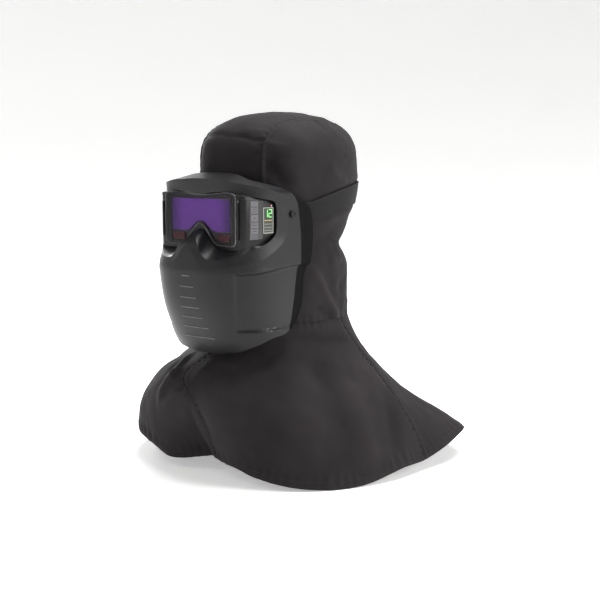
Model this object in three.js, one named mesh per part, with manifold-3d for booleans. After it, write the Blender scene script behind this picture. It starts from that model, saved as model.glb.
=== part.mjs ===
// Welding mask with goggle and cloth hood, in millimetres, +Z up.
// The face looks along -Y and the wearer's left is +X. The origin is inside the top of the hood,
// where it sits on the crown of the head.

import * as THREE from 'three';
import { mergeVertices } from 'three/addons/utils/BufferGeometryUtils.js';
import Module from 'manifold-3d';

const wasm = await Module();
wasm.setup();

// Driving dimensions of the hood
const CLOTH = 1.8; // wall of the hood and the cape
const SEAM_GAP = 0.6; // between two panels that are sewn together
const CROWN_LIFT = 1.8; // top of the cloth above the origin
const CROWN_HEIGHT = 66; // from the widest level up to the top of the crown
const HEAD_HALF_WIDTH = 93;
const HEAD_FRONT = 113;
const HEAD_BACK = 118;
const NECK_DROP = 273; // neck seam below the origin
const BROW_DROP = 93; // top of the face opening below the origin
const PANEL_HALF_WIDTH = 54; // centre panel at the forehead and the crown
const PANEL_NECK_HALF_WIDTH = 34; // centre panel at the neck seam behind

// Driving dimensions of the cape
const CAPE_REACH = 258; // from the head's axis to the far corner of the hem
const CAPE_DROP = 196; // from the neck seam down to the lowest point of the hem

// Driving dimensions of the mask shell
const SHELL_WALL = 2.9;
const SHELL_TOP = -77; // rear edge of the brow ledge
const SHELL_HEIGHT = 231;
const SHELL_HALF_WIDTH = HEAD_HALF_WIDTH - 4; // the hood stands out beside the shell
const SHELL_FRONT = 180; // from the head's axis to the front of the nose bridge
const LEDGE_DEPTH = 32; // brow ledge, front to back
const CHEEK_RECESS = 2.4; // depth of the flat below the cheek step

// Driving dimensions of the goggle
const GOGGLE_FRONT = SHELL_FRONT - 28.2; // from the head's axis to the front of the housing
const GOGGLE_HALF_WIDTH = 0.8146 * SHELL_HALF_WIDTH;
const GOGGLE_WALL = 2.4;
const GOGGLE_CORNER = 7;
const GOGGLE_SIDE_INSET = 5.8; // between the housing's rear ends and the shell's side
const GOGGLE_SIDE_DEPTH = 66.8; // from the housing's front to its rear ends
const GOGGLE_TOP = SHELL_TOP - 0.1173 * SHELL_HEIGHT;
const GOGGLE_HEIGHT = 0.2978 * SHELL_HEIGHT;
const FRAME_NOTCH_TOP = 0.181 * SHELL_HEIGHT; // from the goggle's top down to the top of its nose notch
const FRAME_NOTCH_HALF = 0.4414 * GOGGLE_HALF_WIDTH;
const FRAME_TAPER = 0.12; // how much the housing's edges close in along its side, each
const FRAME_DEPTH = 12;
const BROW_WAVE = 3.5; // how far the goggle's top edge rises beside the middle
const WAVE_LENGTH = 90;
const LENS_TOP = GOGGLE_TOP - 0.4;
const LENS_HALF_WIDTH = GOGGLE_HALF_WIDTH - 10;
const LENS_HEIGHT = GOGGLE_HEIGHT - 5.8;
const LENS_THICKNESS = 1.8;
const LENS_NOTCH_TOP = FRAME_NOTCH_TOP - 5.3; // from the lens's top down to the top of its nose notch
const GLASS_HALF_WIDTH = LENS_HALF_WIDTH - 11;
const GLASS_TOP = LENS_TOP - 4.9;
const GLASS_HEIGHT = LENS_HEIGHT - 22;
const GLASS_NOTCH_TOP = LENS_NOTCH_TOP - 7.9; // from the glass's top down to the top of its nose notch
const CARTRIDGE_LIP = 4; // how far the cartridge reaches behind the housing
const CARTRIDGE_DEPTH = 5;
const SOLAR_INNER = GLASS_HALF_WIDTH - 22; // from the middle plane to a solar cell's inner end
const SOLAR_HEIGHT = 8.2;
const SEAT_GAP = 0.4; // between hard pieces that rest on each other

// Driving dimensions of the strap, flaps and fasteners
const STRAP_WIDTH = 28;
const STRAP_THICKNESS = 1.6;
const STRAP_CLEARANCE = 0.8; // between the strap and the hood
const STRAP_TUCK = 12; // length of strap that lies inside the goggle's side
const STRAP_MEETS_HOOD = 66; // plan angle where the strap first lies on the hood, in degrees
const STRAP_FRONT_Z = GOGGLE_TOP - 24.9; // middle of the strap where it leaves the goggle
const STRAP_BACK_Z = GOGGLE_TOP; // middle of the strap behind the head
const STRAP_RISE = 2.3; // 1 rises evenly; more rises sooner
const FLAP_THICKNESS = 2;
const FLAP_REACH = 20; // how far the flap stands behind the shell
const FLAP_FLARE = 4.5;
const FASTENER_RADIUS = 4.4;
const FASTENER_HEIGHT = 2.2;

const HOOD_CLOTH = { color: 0x2b282a, roughness: 0.9, metalness: 0 };
const SHELL_PLASTIC = { color: 0x3d3d3e, roughness: 0.5, metalness: 0 };
const HOUSING_PLASTIC = { color: 0x1d1d1f, roughness: 0.4, metalness: 0 };
const SOFT_BLACK = { color: 0x151516, roughness: 0.8, metalness: 0 };
const CLEAR_LENS = { color: 0x3a3440, roughness: 0.1, metalness: 0 };
const FILTER_PURPLE = { color: 0x60397c, roughness: 0.15, metalness: 0 };
const SOLAR_RED = { color: 0x633a42, roughness: 0.3, metalness: 0 };
const KEY_GREY = { color: 0x5d5a5e, roughness: 0.6, metalness: 0 };
const DISPLAY_DARK = { color: 0x223022, roughness: 0.3, metalness: 0 };
const LAMP_PINK = { color: 0xc08a90, roughness: 0.3, metalness: 0 };

const helmet = new THREE.Group();
const hood = new THREE.Group();
const cape = new THREE.Group();
const mask = new THREE.Group();
const goggle = new THREE.Group();
helmet.add(hood, cape, mask, goggle);
goggle.position.y = -GOGGLE_FRONT; // the goggle's pieces are placed from the front of its housing

function addPiece(group, name, geometry, finish) {
  const mesh = new THREE.Mesh(geometry, new THREE.MeshStandardMaterial(finish));
  mesh.name = name;
  group.add(mesh);
  return mesh;
}

const mix = (a, b, t) => a + (b - a) * t;
const power = (value, exponent) => Math.pow(Math.max(value, 0), exponent);

// Reads one column of a table whose rows are ordered by the key column, on a smooth curve.
function readTable(rows, key, column, at) {
  const last = rows.length - 1;
  let i = 0;
  while (i < last - 1 && at > rows[i + 1][key]) i += 1;
  const left = rows[Math.max(i - 1, 0)];
  const a = rows[i];
  const b = rows[i + 1];
  const right = rows[Math.min(i + 2, last)];
  const span = b[key] - a[key];
  const t = Math.min(Math.max((at - a[key]) / span, 0), 1);
  const slopeA = ((b[column] - left[column]) / (b[key] - left[key])) * span;
  const slopeB = ((right[column] - a[column]) / (right[key] - a[key])) * span;
  const t2 = t * t;
  const t3 = t2 * t;
  return (2 * t3 - 3 * t2 + 1) * a[column] + (t3 - 2 * t2 + t) * slopeA
    + (3 * t2 - 2 * t3) * b[column] + (t3 - t2) * slopeB;
}

// Closes two matching grids of points, an outer and an inner skin, into one solid wall.
// With closed set, the last column joins the first again.
function wallFromGrids(outer, inner, closed) {
  const rows = outer.length;
  const columns = outer[0].length;
  const positions = [];
  for (const grid of [outer, inner]) {
    for (const row of grid) {
      for (const point of row) positions.push(point.x, point.y, point.z);
    }
  }
  const indices = [];
  const outerAt = (r, c) => r * columns + (c % columns);
  const innerAt = (r, c) => rows * columns + outerAt(r, c);
  const quad = (a, b, c, d) => indices.push(a, b, c, a, c, d);
  const steps = closed ? columns : columns - 1;
  for (let r = 0; r < rows - 1; r += 1) {
    for (let c = 0; c < steps; c += 1) {
      quad(outerAt(r, c), outerAt(r, c + 1), outerAt(r + 1, c + 1), outerAt(r + 1, c));
      quad(innerAt(r, c), innerAt(r + 1, c), innerAt(r + 1, c + 1), innerAt(r, c + 1));
    }
  }
  for (let c = 0; c < steps; c += 1) {
    quad(outerAt(0, c), innerAt(0, c), innerAt(0, c + 1), outerAt(0, c + 1));
    quad(outerAt(rows - 1, c), outerAt(rows - 1, c + 1), innerAt(rows - 1, c + 1), innerAt(rows - 1, c));
  }
  if (!closed) {
    const end = columns - 1;
    for (let r = 0; r < rows - 1; r += 1) {
      quad(outerAt(r, 0), outerAt(r + 1, 0), innerAt(r + 1, 0), innerAt(r, 0));
      quad(outerAt(r, end), innerAt(r, end), innerAt(r + 1, end), outerAt(r + 1, end));
    }
  }
  return facingOut(positions, indices);
}

// Turns the triangles round when the solid would be inside out.
function facingOut(positions, indices) {
  let volume = 0;
  const corner = (k) => new THREE.Vector3().fromArray(positions, 3 * indices[k]);
  for (let k = 0; k < indices.length; k += 3) {
    volume += corner(k).dot(corner(k + 1).cross(corner(k + 2)));
  }
  if (volume < 0) {
    for (let k = 0; k < indices.length; k += 3) {
      [indices[k], indices[k + 1]] = [indices[k + 1], indices[k]];
    }
  }
  const geometry = new THREE.BufferGeometry();
  geometry.setAttribute('position', new THREE.Float32BufferAttribute(positions, 3));
  geometry.setIndex(indices);
  return geometry;
}

const mirrored = (grid) => grid.map((row) => row.map((p) => new THREE.Vector3(-p.x, p.y, p.z)));

// The hood's horizontal sections below the crown. Drop is a share of the way from the widest
// level to the neck seam; the others are shares of the head's width and depth.
const HOOD_SECTIONS = [
  { drop: 0.0, side: 1.0, front: 1.0, back: 1.0 },
  { drop: 0.14, side: 1.0, front: 1.0, back: 1.0 },
  { drop: 0.27, side: 0.97, front: 0.97, back: 0.95 },
  { drop: 0.41, side: 0.92, front: 0.92, back: 0.83 },
  { drop: 0.53, side: 0.885, front: 0.88, back: 0.73 },
  { drop: 0.67, side: 0.92, front: 0.87, back: 0.81 },
  { drop: 0.82, side: 0.93, front: 0.86, back: 0.82 },
  { drop: 1.0, side: 0.95, front: 0.86, back: 0.81 },
];
const PLAN_SQUARENESS = 2.2;
const CROWN_SQUARENESS = 2.5;
const WIDEST_Z = CROWN_LIFT - CROWN_HEIGHT;
const NECK_Z = -NECK_DROP;

function hoodReach(z) {
  const drop = Math.min(Math.max((WIDEST_Z - z) / (WIDEST_Z - NECK_Z), 0), 1);
  return {
    side: HEAD_HALF_WIDTH * readTable(HOOD_SECTIONS, 'drop', 'side', drop),
    front: HEAD_FRONT * readTable(HOOD_SECTIONS, 'drop', 'front', drop),
    back: HEAD_BACK * readTable(HOOD_SECTIONS, 'drop', 'back', drop),
  };
}

// 1 on the hood's outer surface, less inside it and more outside.
function hoodGauge(x, y, z) {
  const reach = hoodReach(z);
  const depth = Math.abs(y) / (y < 0 ? reach.front : reach.back);
  const rise = Math.max(z - WIDEST_Z, 0) / CROWN_HEIGHT;
  const bulge = power(depth, CROWN_SQUARENESS) + power(rise, CROWN_SQUARENESS);
  const profile = power(bulge, 1 / CROWN_SQUARENESS);
  const width = power(Math.abs(x) / reach.side, PLAN_SQUARENESS);
  return power(width + power(profile, PLAN_SQUARENESS), 1 / PLAN_SQUARENESS);
}

function hoodNormal(point) {
  const step = 0.5;
  const slope = (dx, dy, dz) => hoodGauge(point.x + dx, point.y + dy, point.z + dz)
    - hoodGauge(point.x - dx, point.y - dy, point.z - dz);
  return new THREE.Vector3(slope(step, 0, 0), slope(0, step, 0), slope(0, 0, step)).normalize();
}

// Point on the crown in a direction from the middle of its base.
function crownPoint(direction) {
  const gauge = hoodGauge(direction.x, direction.y, WIDEST_Z + direction.z);
  return new THREE.Vector3(direction.x / gauge, direction.y / gauge, WIDEST_Z + direction.z / gauge);
}

// Point on the section at height z, at a plan angle from the front.
function sectionPoint(angle, z) {
  const gauge = hoodGauge(Math.sin(angle), -Math.cos(angle), Math.min(z, WIDEST_Z));
  return new THREE.Vector3(Math.sin(angle) / gauge, -Math.cos(angle) / gauge, z);
}

// Point on the section at height z that lies x from the middle plane, on the front or the back.
function sectionAcross(x, z, side) {
  const reach = hoodReach(z);
  const depth = power(1 - power(Math.abs(x) / reach.side, PLAN_SQUARENESS), 1 / PLAN_SQUARENESS);
  return new THREE.Vector3(x, side < 0 ? -reach.front * depth : reach.back * depth, z);
}

const BROW_ROWS = 2;
const CROWN_ROWS = 14;
const NECK_ROWS = 12;
const ROW_CROWDING = 1.15; // rows lie closer together near the crown than at the neck

const neckShare = (row) => power(row / NECK_ROWS, ROW_CROWDING);
const neckLevel = (row) => mix(WIDEST_Z, NECK_Z, neckShare(row));
const backHalfWidth = (row) => mix(PANEL_HALF_WIDTH, PANEL_NECK_HALF_WIDTH, neckShare(row));

// One row of the centre panel: its half width and the point at a distance x from the middle.
// The rows run from the brow over the crown and down behind to the neck seam.
function panelRow(index) {
  if (index < BROW_ROWS) {
    const z = mix(-BROW_DROP, WIDEST_Z, index / BROW_ROWS);
    return { halfWidth: PANEL_HALF_WIDTH, at: (x) => sectionAcross(x, z, -1) };
  }
  if (index <= BROW_ROWS + CROWN_ROWS) {
    const fan = (Math.PI * (index - BROW_ROWS)) / CROWN_ROWS;
    const middle = crownPoint(new THREE.Vector3(0, -Math.cos(fan), Math.sin(fan)));
    const at = (x) => {
      const share = power(1 - power(Math.abs(x) / HEAD_HALF_WIDTH, PLAN_SQUARENESS), 1 / PLAN_SQUARENESS);
      return new THREE.Vector3(x, middle.y * share, WIDEST_Z + (middle.z - WIDEST_Z) * share);
    };
    return { halfWidth: PANEL_HALF_WIDTH, at };
  }
  const row = index - BROW_ROWS - CROWN_ROWS;
  return { halfWidth: backHalfWidth(row), at: (x) => sectionAcross(x, neckLevel(row), 1) };
}

function clothWall(outer, normalAt) {
  const inner = outer.map((row) => row.map((p) => p.clone().addScaledVector(normalAt(p), -CLOTH)));
  return wallFromGrids(outer, inner, false);
}

function hoodCentrePanel() {
  const across = 8;
  const outer = [];
  for (let i = 0; i <= BROW_ROWS + CROWN_ROWS + NECK_ROWS; i += 1) {
    const { halfWidth, at } = panelRow(i);
    const edge = halfWidth - SEAM_GAP / 2;
    const row = [];
    for (let c = 0; c <= across; c += 1) row.push(at(mix(-edge, edge, c / across)));
    outer.push(row);
  }
  return clothWall(outer, hoodNormal);
}

// The face opening's edge: degrees that it lies further round than the brow seam, by its height.
const FACE_EDGE = [
  { drop: 0.0, widen: 0 },
  { drop: 0.25, widen: 11 },
  { drop: 0.6, widen: 13 },
  { drop: 0.85, widen: 2 },
  { drop: 1.0, widen: -15 },
];

const planAngle = (point) => Math.atan2(point.x, -point.y);

// Side panel: a column for each step along the crown seam, running down to the neck seam.
function hoodSideGrid() {
  const columns = BROW_ROWS + CROWN_ROWS;
  const seamAt = (index) => {
    const { halfWidth, at } = panelRow(index);
    return at(halfWidth + SEAM_GAP / 2);
  };
  const browAngle = planAngle(seamAt(0));
  const frontAngle = (share) => browAngle
    + THREE.MathUtils.degToRad(readTable(FACE_EDGE, 'drop', 'widen', share));
  const backAngle = (row) => planAngle(seamAt(columns + row));
  const outer = [];
  for (let r = 0; r <= NECK_ROWS; r += 1) {
    const share = neckShare(r);
    const row = [];
    for (let c = 0; c <= columns; c += 1) {
      const start = seamAt(c);
      const startShare = (planAngle(start) - browAngle) / (backAngle(0) - browAngle);
      const round = mix(startShare, c / columns, share);
      const angle = mix(frontAngle(share), backAngle(r), round);
      const rise = Math.max(start.z - WIDEST_Z, 0);
      const latitude = Math.atan2(rise, Math.hypot(start.x, start.y));
      const crownArc = latitude * HEAD_HALF_WIDTH;
      const top = Math.min(start.z, WIDEST_Z);
      const along = share * (crownArc + top - NECK_Z);
      if (along < crownArc) {
        const lift = latitude * (1 - along / crownArc);
        row.push(crownPoint(new THREE.Vector3(
          Math.sin(angle) * Math.cos(lift),
          -Math.cos(angle) * Math.cos(lift),
          Math.sin(lift),
        )));
      } else {
        row.push(sectionPoint(angle, top - (along - crownArc)));
      }
    }
    outer.push(row);
  }
  return outer;
}

addPiece(hood, 'hood_centre_panel', hoodCentrePanel(), HOOD_CLOTH);
const sideGrid = hoodSideGrid();
addPiece(hood, 'hood_side_panel_left', clothWall(sideGrid, hoodNormal), HOOD_CLOTH);
addPiece(hood, 'hood_side_panel_right', clothWall(mirrored(sideGrid), hoodNormal), HOOD_CLOTH);

// The cape, by plan angle in degrees from the front. Each row is a curve from the neck seam
// through a near and a far control point to the hem: reaches are shares of CAPE_REACH and drops
// shares of CAPE_DROP. Lean is added to the hem's drop on the wearer's left and taken off
// on the right.
const CAPE_SPOKES = [
  { angle: 0, near: 0.427, nearDrop: 0.371, far: 0.935, farDrop: 0.139 },
  { angle: 20, near: 0.412, nearDrop: 0.371, far: 0.878, farDrop: 0.2 },
  { angle: 30, near: 0.405, nearDrop: 0.356, far: 0.832, farDrop: 0.253 },
  { angle: 50, near: 0.397, nearDrop: 0.335, far: 0.782, farDrop: 0.32 },
  { angle: 70, near: 0.397, nearDrop: 0.304, far: 0.718, farDrop: 0.371 },
  { angle: 90, near: 0.4, nearDrop: 0.268, far: 0.687, farDrop: 0.438 },
  { angle: 104, near: 0.408, nearDrop: 0.222, far: 0.744, farDrop: 0.51 },
  { angle: 120, near: 0.405, nearDrop: 0.2, far: 0.61, farDrop: 0.48 },
  { angle: 130, near: 0.405, nearDrop: 0.2, far: 0.553, farDrop: 0.48 },
  { angle: 145, near: 0.405, nearDrop: 0.216, far: 0.573, farDrop: 0.49 },
  { angle: 180, near: 0.4, nearDrop: 0.242, far: 0.592, farDrop: 0.51 },
];
const CAPE_HEM = [
  { angle: 0, hem: 0.515, hemDrop: 0.887, lean: 0 },
  { angle: 20, hem: 0.637, hemDrop: 0.907, lean: -0.015 },
  { angle: 30, hem: 0.702, hemDrop: 0.892, lean: 0.03 },
  { angle: 50, hem: 0.767, hemDrop: 0.897, lean: 0.082 },
  { angle: 70, hem: 0.786, hemDrop: 0.928, lean: 0.062 },
  { angle: 90, hem: 0.817, hemDrop: 0.907, lean: 0.02 },
  { angle: 104, hem: 0.847, hemDrop: 0.912, lean: 0.01 },
  { angle: 120, hem: 0.954, hemDrop: 0.84, lean: 0 },
  { angle: 130, hem: 1.0, hemDrop: 0.825, lean: 0 },
  { angle: 145, hem: 0.947, hemDrop: 0.871, lean: 0 },
  { angle: 180, hem: 0.847, hemDrop: 0.923, lean: 0 },
];
const SIDE_SEAM_NECK_ANGLE = 109.5; // where the cape's side seams start, degrees from the front
const SIDE_SEAM_HEM_ANGLE = 103;
// The front seam's plan angle in degrees: it wanders where the cape turns down over the chest.
const FRONT_SEAM = [
  { along: 0, angle: 0 },
  { along: 0.22, angle: -4 },
  { along: 0.5, angle: -8.6 },
  { along: 0.73, angle: 2.5 },
  { along: 0.88, angle: 8.4 },
  { along: 1, angle: 6.6 },
];
const CAPE_ROWS = 9;

// Point on the cape's outer surface; the angle is in degrees and along goes from 0 at the neck
// seam to 1 at the hem.
function capePoint(degrees, along) {
  const signed = degrees > 180 ? degrees - 360 : degrees;
  const at = (column) => readTable(CAPE_SPOKES, 'angle', column, Math.abs(signed));
  const hem = (column) => readTable(CAPE_HEM, 'angle', column, Math.abs(signed));
  const angle = THREE.MathUtils.degToRad(signed);
  const start = sectionPoint(angle, NECK_Z);
  const lean = hem('lean') * Math.sign(signed);
  const a = (1 - along) ** 3;
  const b = 3 * along * (1 - along) ** 2;
  const c = 3 * along ** 2 * (1 - along);
  const d = along ** 3;
  const reach = CAPE_REACH * (b * at('near') + c * at('far') + d * hem('hem'));
  const drop = CAPE_DROP * (b * at('nearDrop') + c * at('farDrop') + d * (hem('hemDrop') + lean));
  const out = a * Math.hypot(start.x, start.y) + reach;
  return new THREE.Vector3(out * Math.sin(angle), -out * Math.cos(angle), NECK_Z - SEAM_GAP - drop);
}

function capeNormal(degrees, along) {
  const low = capePoint(degrees, Math.min(along + 0.02, 1));
  const high = capePoint(degrees, Math.max(along - 0.02, 0));
  const left = capePoint(degrees + 1, along);
  const right = capePoint(degrees - 1, along);
  return left.sub(right).cross(low.sub(high)).normalize().negate();
}

// Panel of the cape between two edges, each a function from along to degrees.
function capePanel(fromAngle, toAngle, columns) {
  const outer = [];
  const inner = [];
  for (let r = 0; r <= CAPE_ROWS; r += 1) {
    const along = r / CAPE_ROWS;
    const outerRow = [];
    const innerRow = [];
    for (let c = 0; c <= columns; c += 1) {
      const degrees = mix(fromAngle(along), toAngle(along), c / columns);
      const point = capePoint(degrees, along);
      outerRow.push(point);
      innerRow.push(point.clone().addScaledVector(capeNormal(degrees, along), -CLOTH));
    }
    outer.push(outerRow);
    inner.push(innerRow);
  }
  return wallFromGrids(outer, inner, false);
}

const gapAngle = (along) => THREE.MathUtils.radToDeg(
  SEAM_GAP / 2 / mix(HEAD_HALF_WIDTH, CAPE_REACH * CAPE_HEM[0].hem, along),
);
const sideSeam = (along) => mix(SIDE_SEAM_NECK_ANGLE, SIDE_SEAM_HEM_ANGLE, along);
const frontSeam = (along) => readTable(FRONT_SEAM, 'along', 'angle', along);
const sideEdge = (along) => sideSeam(along) - gapAngle(along);
const leftFront = capePanel((v) => frontSeam(v) + gapAngle(v), sideEdge, 14);
addPiece(cape, 'cape_front_left', leftFront, HOOD_CLOTH);
const rightFront = capePanel((v) => -sideEdge(v), (v) => frontSeam(v) - gapAngle(v), 14);
addPiece(cape, 'cape_front_right', rightFront, HOOD_CLOTH);
const backEdge = (along) => sideSeam(along) + gapAngle(along);
addPiece(cape, 'cape_back', capePanel(backEdge, (v) => 360 - backEdge(v), 20), HOOD_CLOTH);

// The mask shell's sections, as shares of its height, half width and front reach. Back is where
// the shell's rear edge lies in front of the head's axis, as a share of the half width.
const SHELL_SECTIONS = [
  { drop: 0.026, front: 0.867, width: 0.966, back: 0.787, square: 3.6 },
  { drop: 0.121, front: 0.867, width: 0.989, back: 0.742, square: 4.3 },
  { drop: 0.316, front: 0.928, width: 1.0, back: 0.674, square: 3.5 },
  { drop: 0.381, front: 0.978, width: 1.0, back: 0.663, square: 3.2 },
  { drop: 0.505, front: 0.998, width: 1.0, back: 0.667, square: 3.1 },
  { drop: 0.53, front: 1.0, width: 1.0, back: 0.713, square: 3.1 },
  { drop: 0.732, front: 0.956, width: 0.978, back: 0.775, square: 3.0 },
  { drop: 0.905, front: 0.867, width: 0.944, back: 0.854, square: 2.8 },
  { drop: 1.0, front: 0.8, width: 0.9, back: 0.93, square: 2.6 },
];
const shellDrop = (z) => (SHELL_TOP - z) / SHELL_HEIGHT;
const shellZ = (drop) => SHELL_TOP - SHELL_HEIGHT * drop;

// Point on the shell's outer surface: round is a share of the way from the middle plane to the
// rear edge, along the section at this drop, negative on the wearer's right.
function shellPoint(round, drop) {
  const level = Math.min(Math.max(drop, SHELL_SECTIONS[0].drop), 1);
  const at = (column) => readTable(SHELL_SECTIONS, 'drop', column, level);
  const width = SHELL_HALF_WIDTH * at('width');
  const front = SHELL_FRONT * at('front');
  const back = SHELL_HALF_WIDTH * at('back');
  const exponent = 2 / at('square');
  const steps = 60;
  const points = [];
  const lengths = [0];
  for (let i = 0; i <= steps; i += 1) {
    const turn = (Math.PI / 2) * (i / steps);
    points.push(new THREE.Vector2(
      width * power(Math.sin(turn), exponent),
      -back - (front - back) * power(Math.cos(turn), exponent),
    ));
    if (i > 0) lengths.push(lengths[i - 1] + points[i].distanceTo(points[i - 1]));
  }
  const target = Math.min(Math.abs(round), 1) * lengths[steps];
  let i = 1;
  while (i < steps && lengths[i] < target) i += 1;
  const share = (target - lengths[i - 1]) / (lengths[i] - lengths[i - 1]);
  const found = points[i - 1].clone().lerp(points[i], share);
  return new THREE.Vector3(round < 0 ? -found.x : found.x, found.y, shellZ(drop));
}

function shellNormal(round, drop) {
  const step = 0.01;
  const clear = Math.min(Math.max(round, -1 + step), 1 - step);
  const along = shellPoint(clear + step, drop).sub(shellPoint(clear - step, drop));
  const down = shellPoint(clear, drop + step).sub(shellPoint(clear, drop - step));
  return down.cross(along).normalize();
}

const GOGGLE_CORNER_POINT = new THREE.Vector2(GOGGLE_HALF_WIDTH, 0);
const GOGGLE_SIDE_END = new THREE.Vector2(SHELL_HALF_WIDTH - GOGGLE_SIDE_INSET, GOGGLE_SIDE_DEPTH);

// The goggle's path seen from above, from the middle of its front: flat, round a corner, then
// back along the side. Along is a distance from the middle plane; the result has the point and
// the outward normal.
function gogglePath(along) {
  const corner = GOGGLE_CORNER_POINT;
  const side = GOGGLE_SIDE_END.clone().sub(corner).normalize();
  const turn = Math.acos(side.x);
  const trim = GOGGLE_CORNER * Math.tan(turn / 2);
  const flat = GOGGLE_HALF_WIDTH - trim;
  const arc = GOGGLE_CORNER * turn;
  const distance = Math.abs(along);
  let point;
  let angle;
  if (distance < flat) {
    point = new THREE.Vector2(distance, 0);
    angle = 0;
  } else if (distance < flat + arc) {
    angle = (distance - flat) / GOGGLE_CORNER;
    const out = flat + GOGGLE_CORNER * Math.sin(angle);
    point = new THREE.Vector2(out, GOGGLE_CORNER * (1 - Math.cos(angle)));
  } else {
    angle = turn;
    point = corner.clone().addScaledVector(side, trim + distance - flat - arc);
  }
  const sign = along < 0 ? -1 : 1;
  return {
    point: new THREE.Vector2(sign * point.x, point.y),
    normal: new THREE.Vector2(sign * Math.sin(angle), -Math.cos(angle)),
  };
}
const GOGGLE_PATH_LENGTH = GOGGLE_HALF_WIDTH + GOGGLE_CORNER_POINT.distanceTo(GOGGLE_SIDE_END);

// Spokes of the shell round the goggle, for half of it from the top of the brow round the side
// to the chin. Seat is where the window's inner wall ends at the goggle and window is the
// window's edge. Each place is a share of the way round its section and each drop a share of
// the shell's height.
const WINDOW_SPOKES = [
  { seat: 0, seatDrop: 0.115, window: 0.0, windowDrop: 0.11 },
  { seat: 0.07, seatDrop: 0.113, window: 0.07, windowDrop: 0.108 },
  { seat: 0.16, seatDrop: 0.105, window: 0.15, windowDrop: 0.101 },
  { seat: 0.27, seatDrop: 0.099, window: 0.25, windowDrop: 0.094 },
  { seat: 0.37, seatDrop: 0.103, window: 0.35, windowDrop: 0.1 },
  { seat: 0.5, seatDrop: 0.115, window: 0.455, windowDrop: 0.112 },
  { seat: 0.62, seatDrop: 0.13, window: 0.55, windowDrop: 0.125 },
  { seat: 0.73, seatDrop: 0.145, window: 0.656, windowDrop: 0.139 },
  { seat: 0.85, seatDrop: 0.15, window: 0.735, windowDrop: 0.152 },
  { seat: 0.86, seatDrop: 0.186, window: 0.758, windowDrop: 0.182 },
  { seat: 0.86, seatDrop: 0.238, window: 0.757, windowDrop: 0.238 },
  { seat: 0.86, seatDrop: 0.312, window: 0.748, windowDrop: 0.307 },
  { seat: 0.83, seatDrop: 0.348, window: 0.725, windowDrop: 0.342 },
  { seat: 0.76, seatDrop: 0.3745, window: 0.66, windowDrop: 0.377 },
  { seat: 0.655, seatDrop: 0.385, window: 0.59, windowDrop: 0.398 },
  { seat: 0.59, seatDrop: 0.396, window: 0.53, windowDrop: 0.413 },
  { seat: 0.53, seatDrop: 0.407, window: 0.466, windowDrop: 0.427 },
  { seat: 0.46, seatDrop: 0.413, window: 0.4, windowDrop: 0.442 },
  { seat: 0.4, seatDrop: 0.418, window: 0.342, windowDrop: 0.453 },
  { seat: 0.32, seatDrop: 0.418, window: 0.277, windowDrop: 0.461 },
  { seat: 0.25, seatDrop: 0.411, window: 0.218, windowDrop: 0.463 },
  { seat: 0.19, seatDrop: 0.394, window: 0.17, windowDrop: 0.455 },
  { seat: 0.14, seatDrop: 0.366, window: 0.13, windowDrop: 0.429 },
  { seat: 0.09, seatDrop: 0.338, window: 0.1, windowDrop: 0.39 },
  { seat: 0.05, seatDrop: 0.312, window: 0.055, windowDrop: 0.351 },
  { seat: 0, seatDrop: 0.301, window: 0.0, windowDrop: 0.332 },
];
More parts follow.
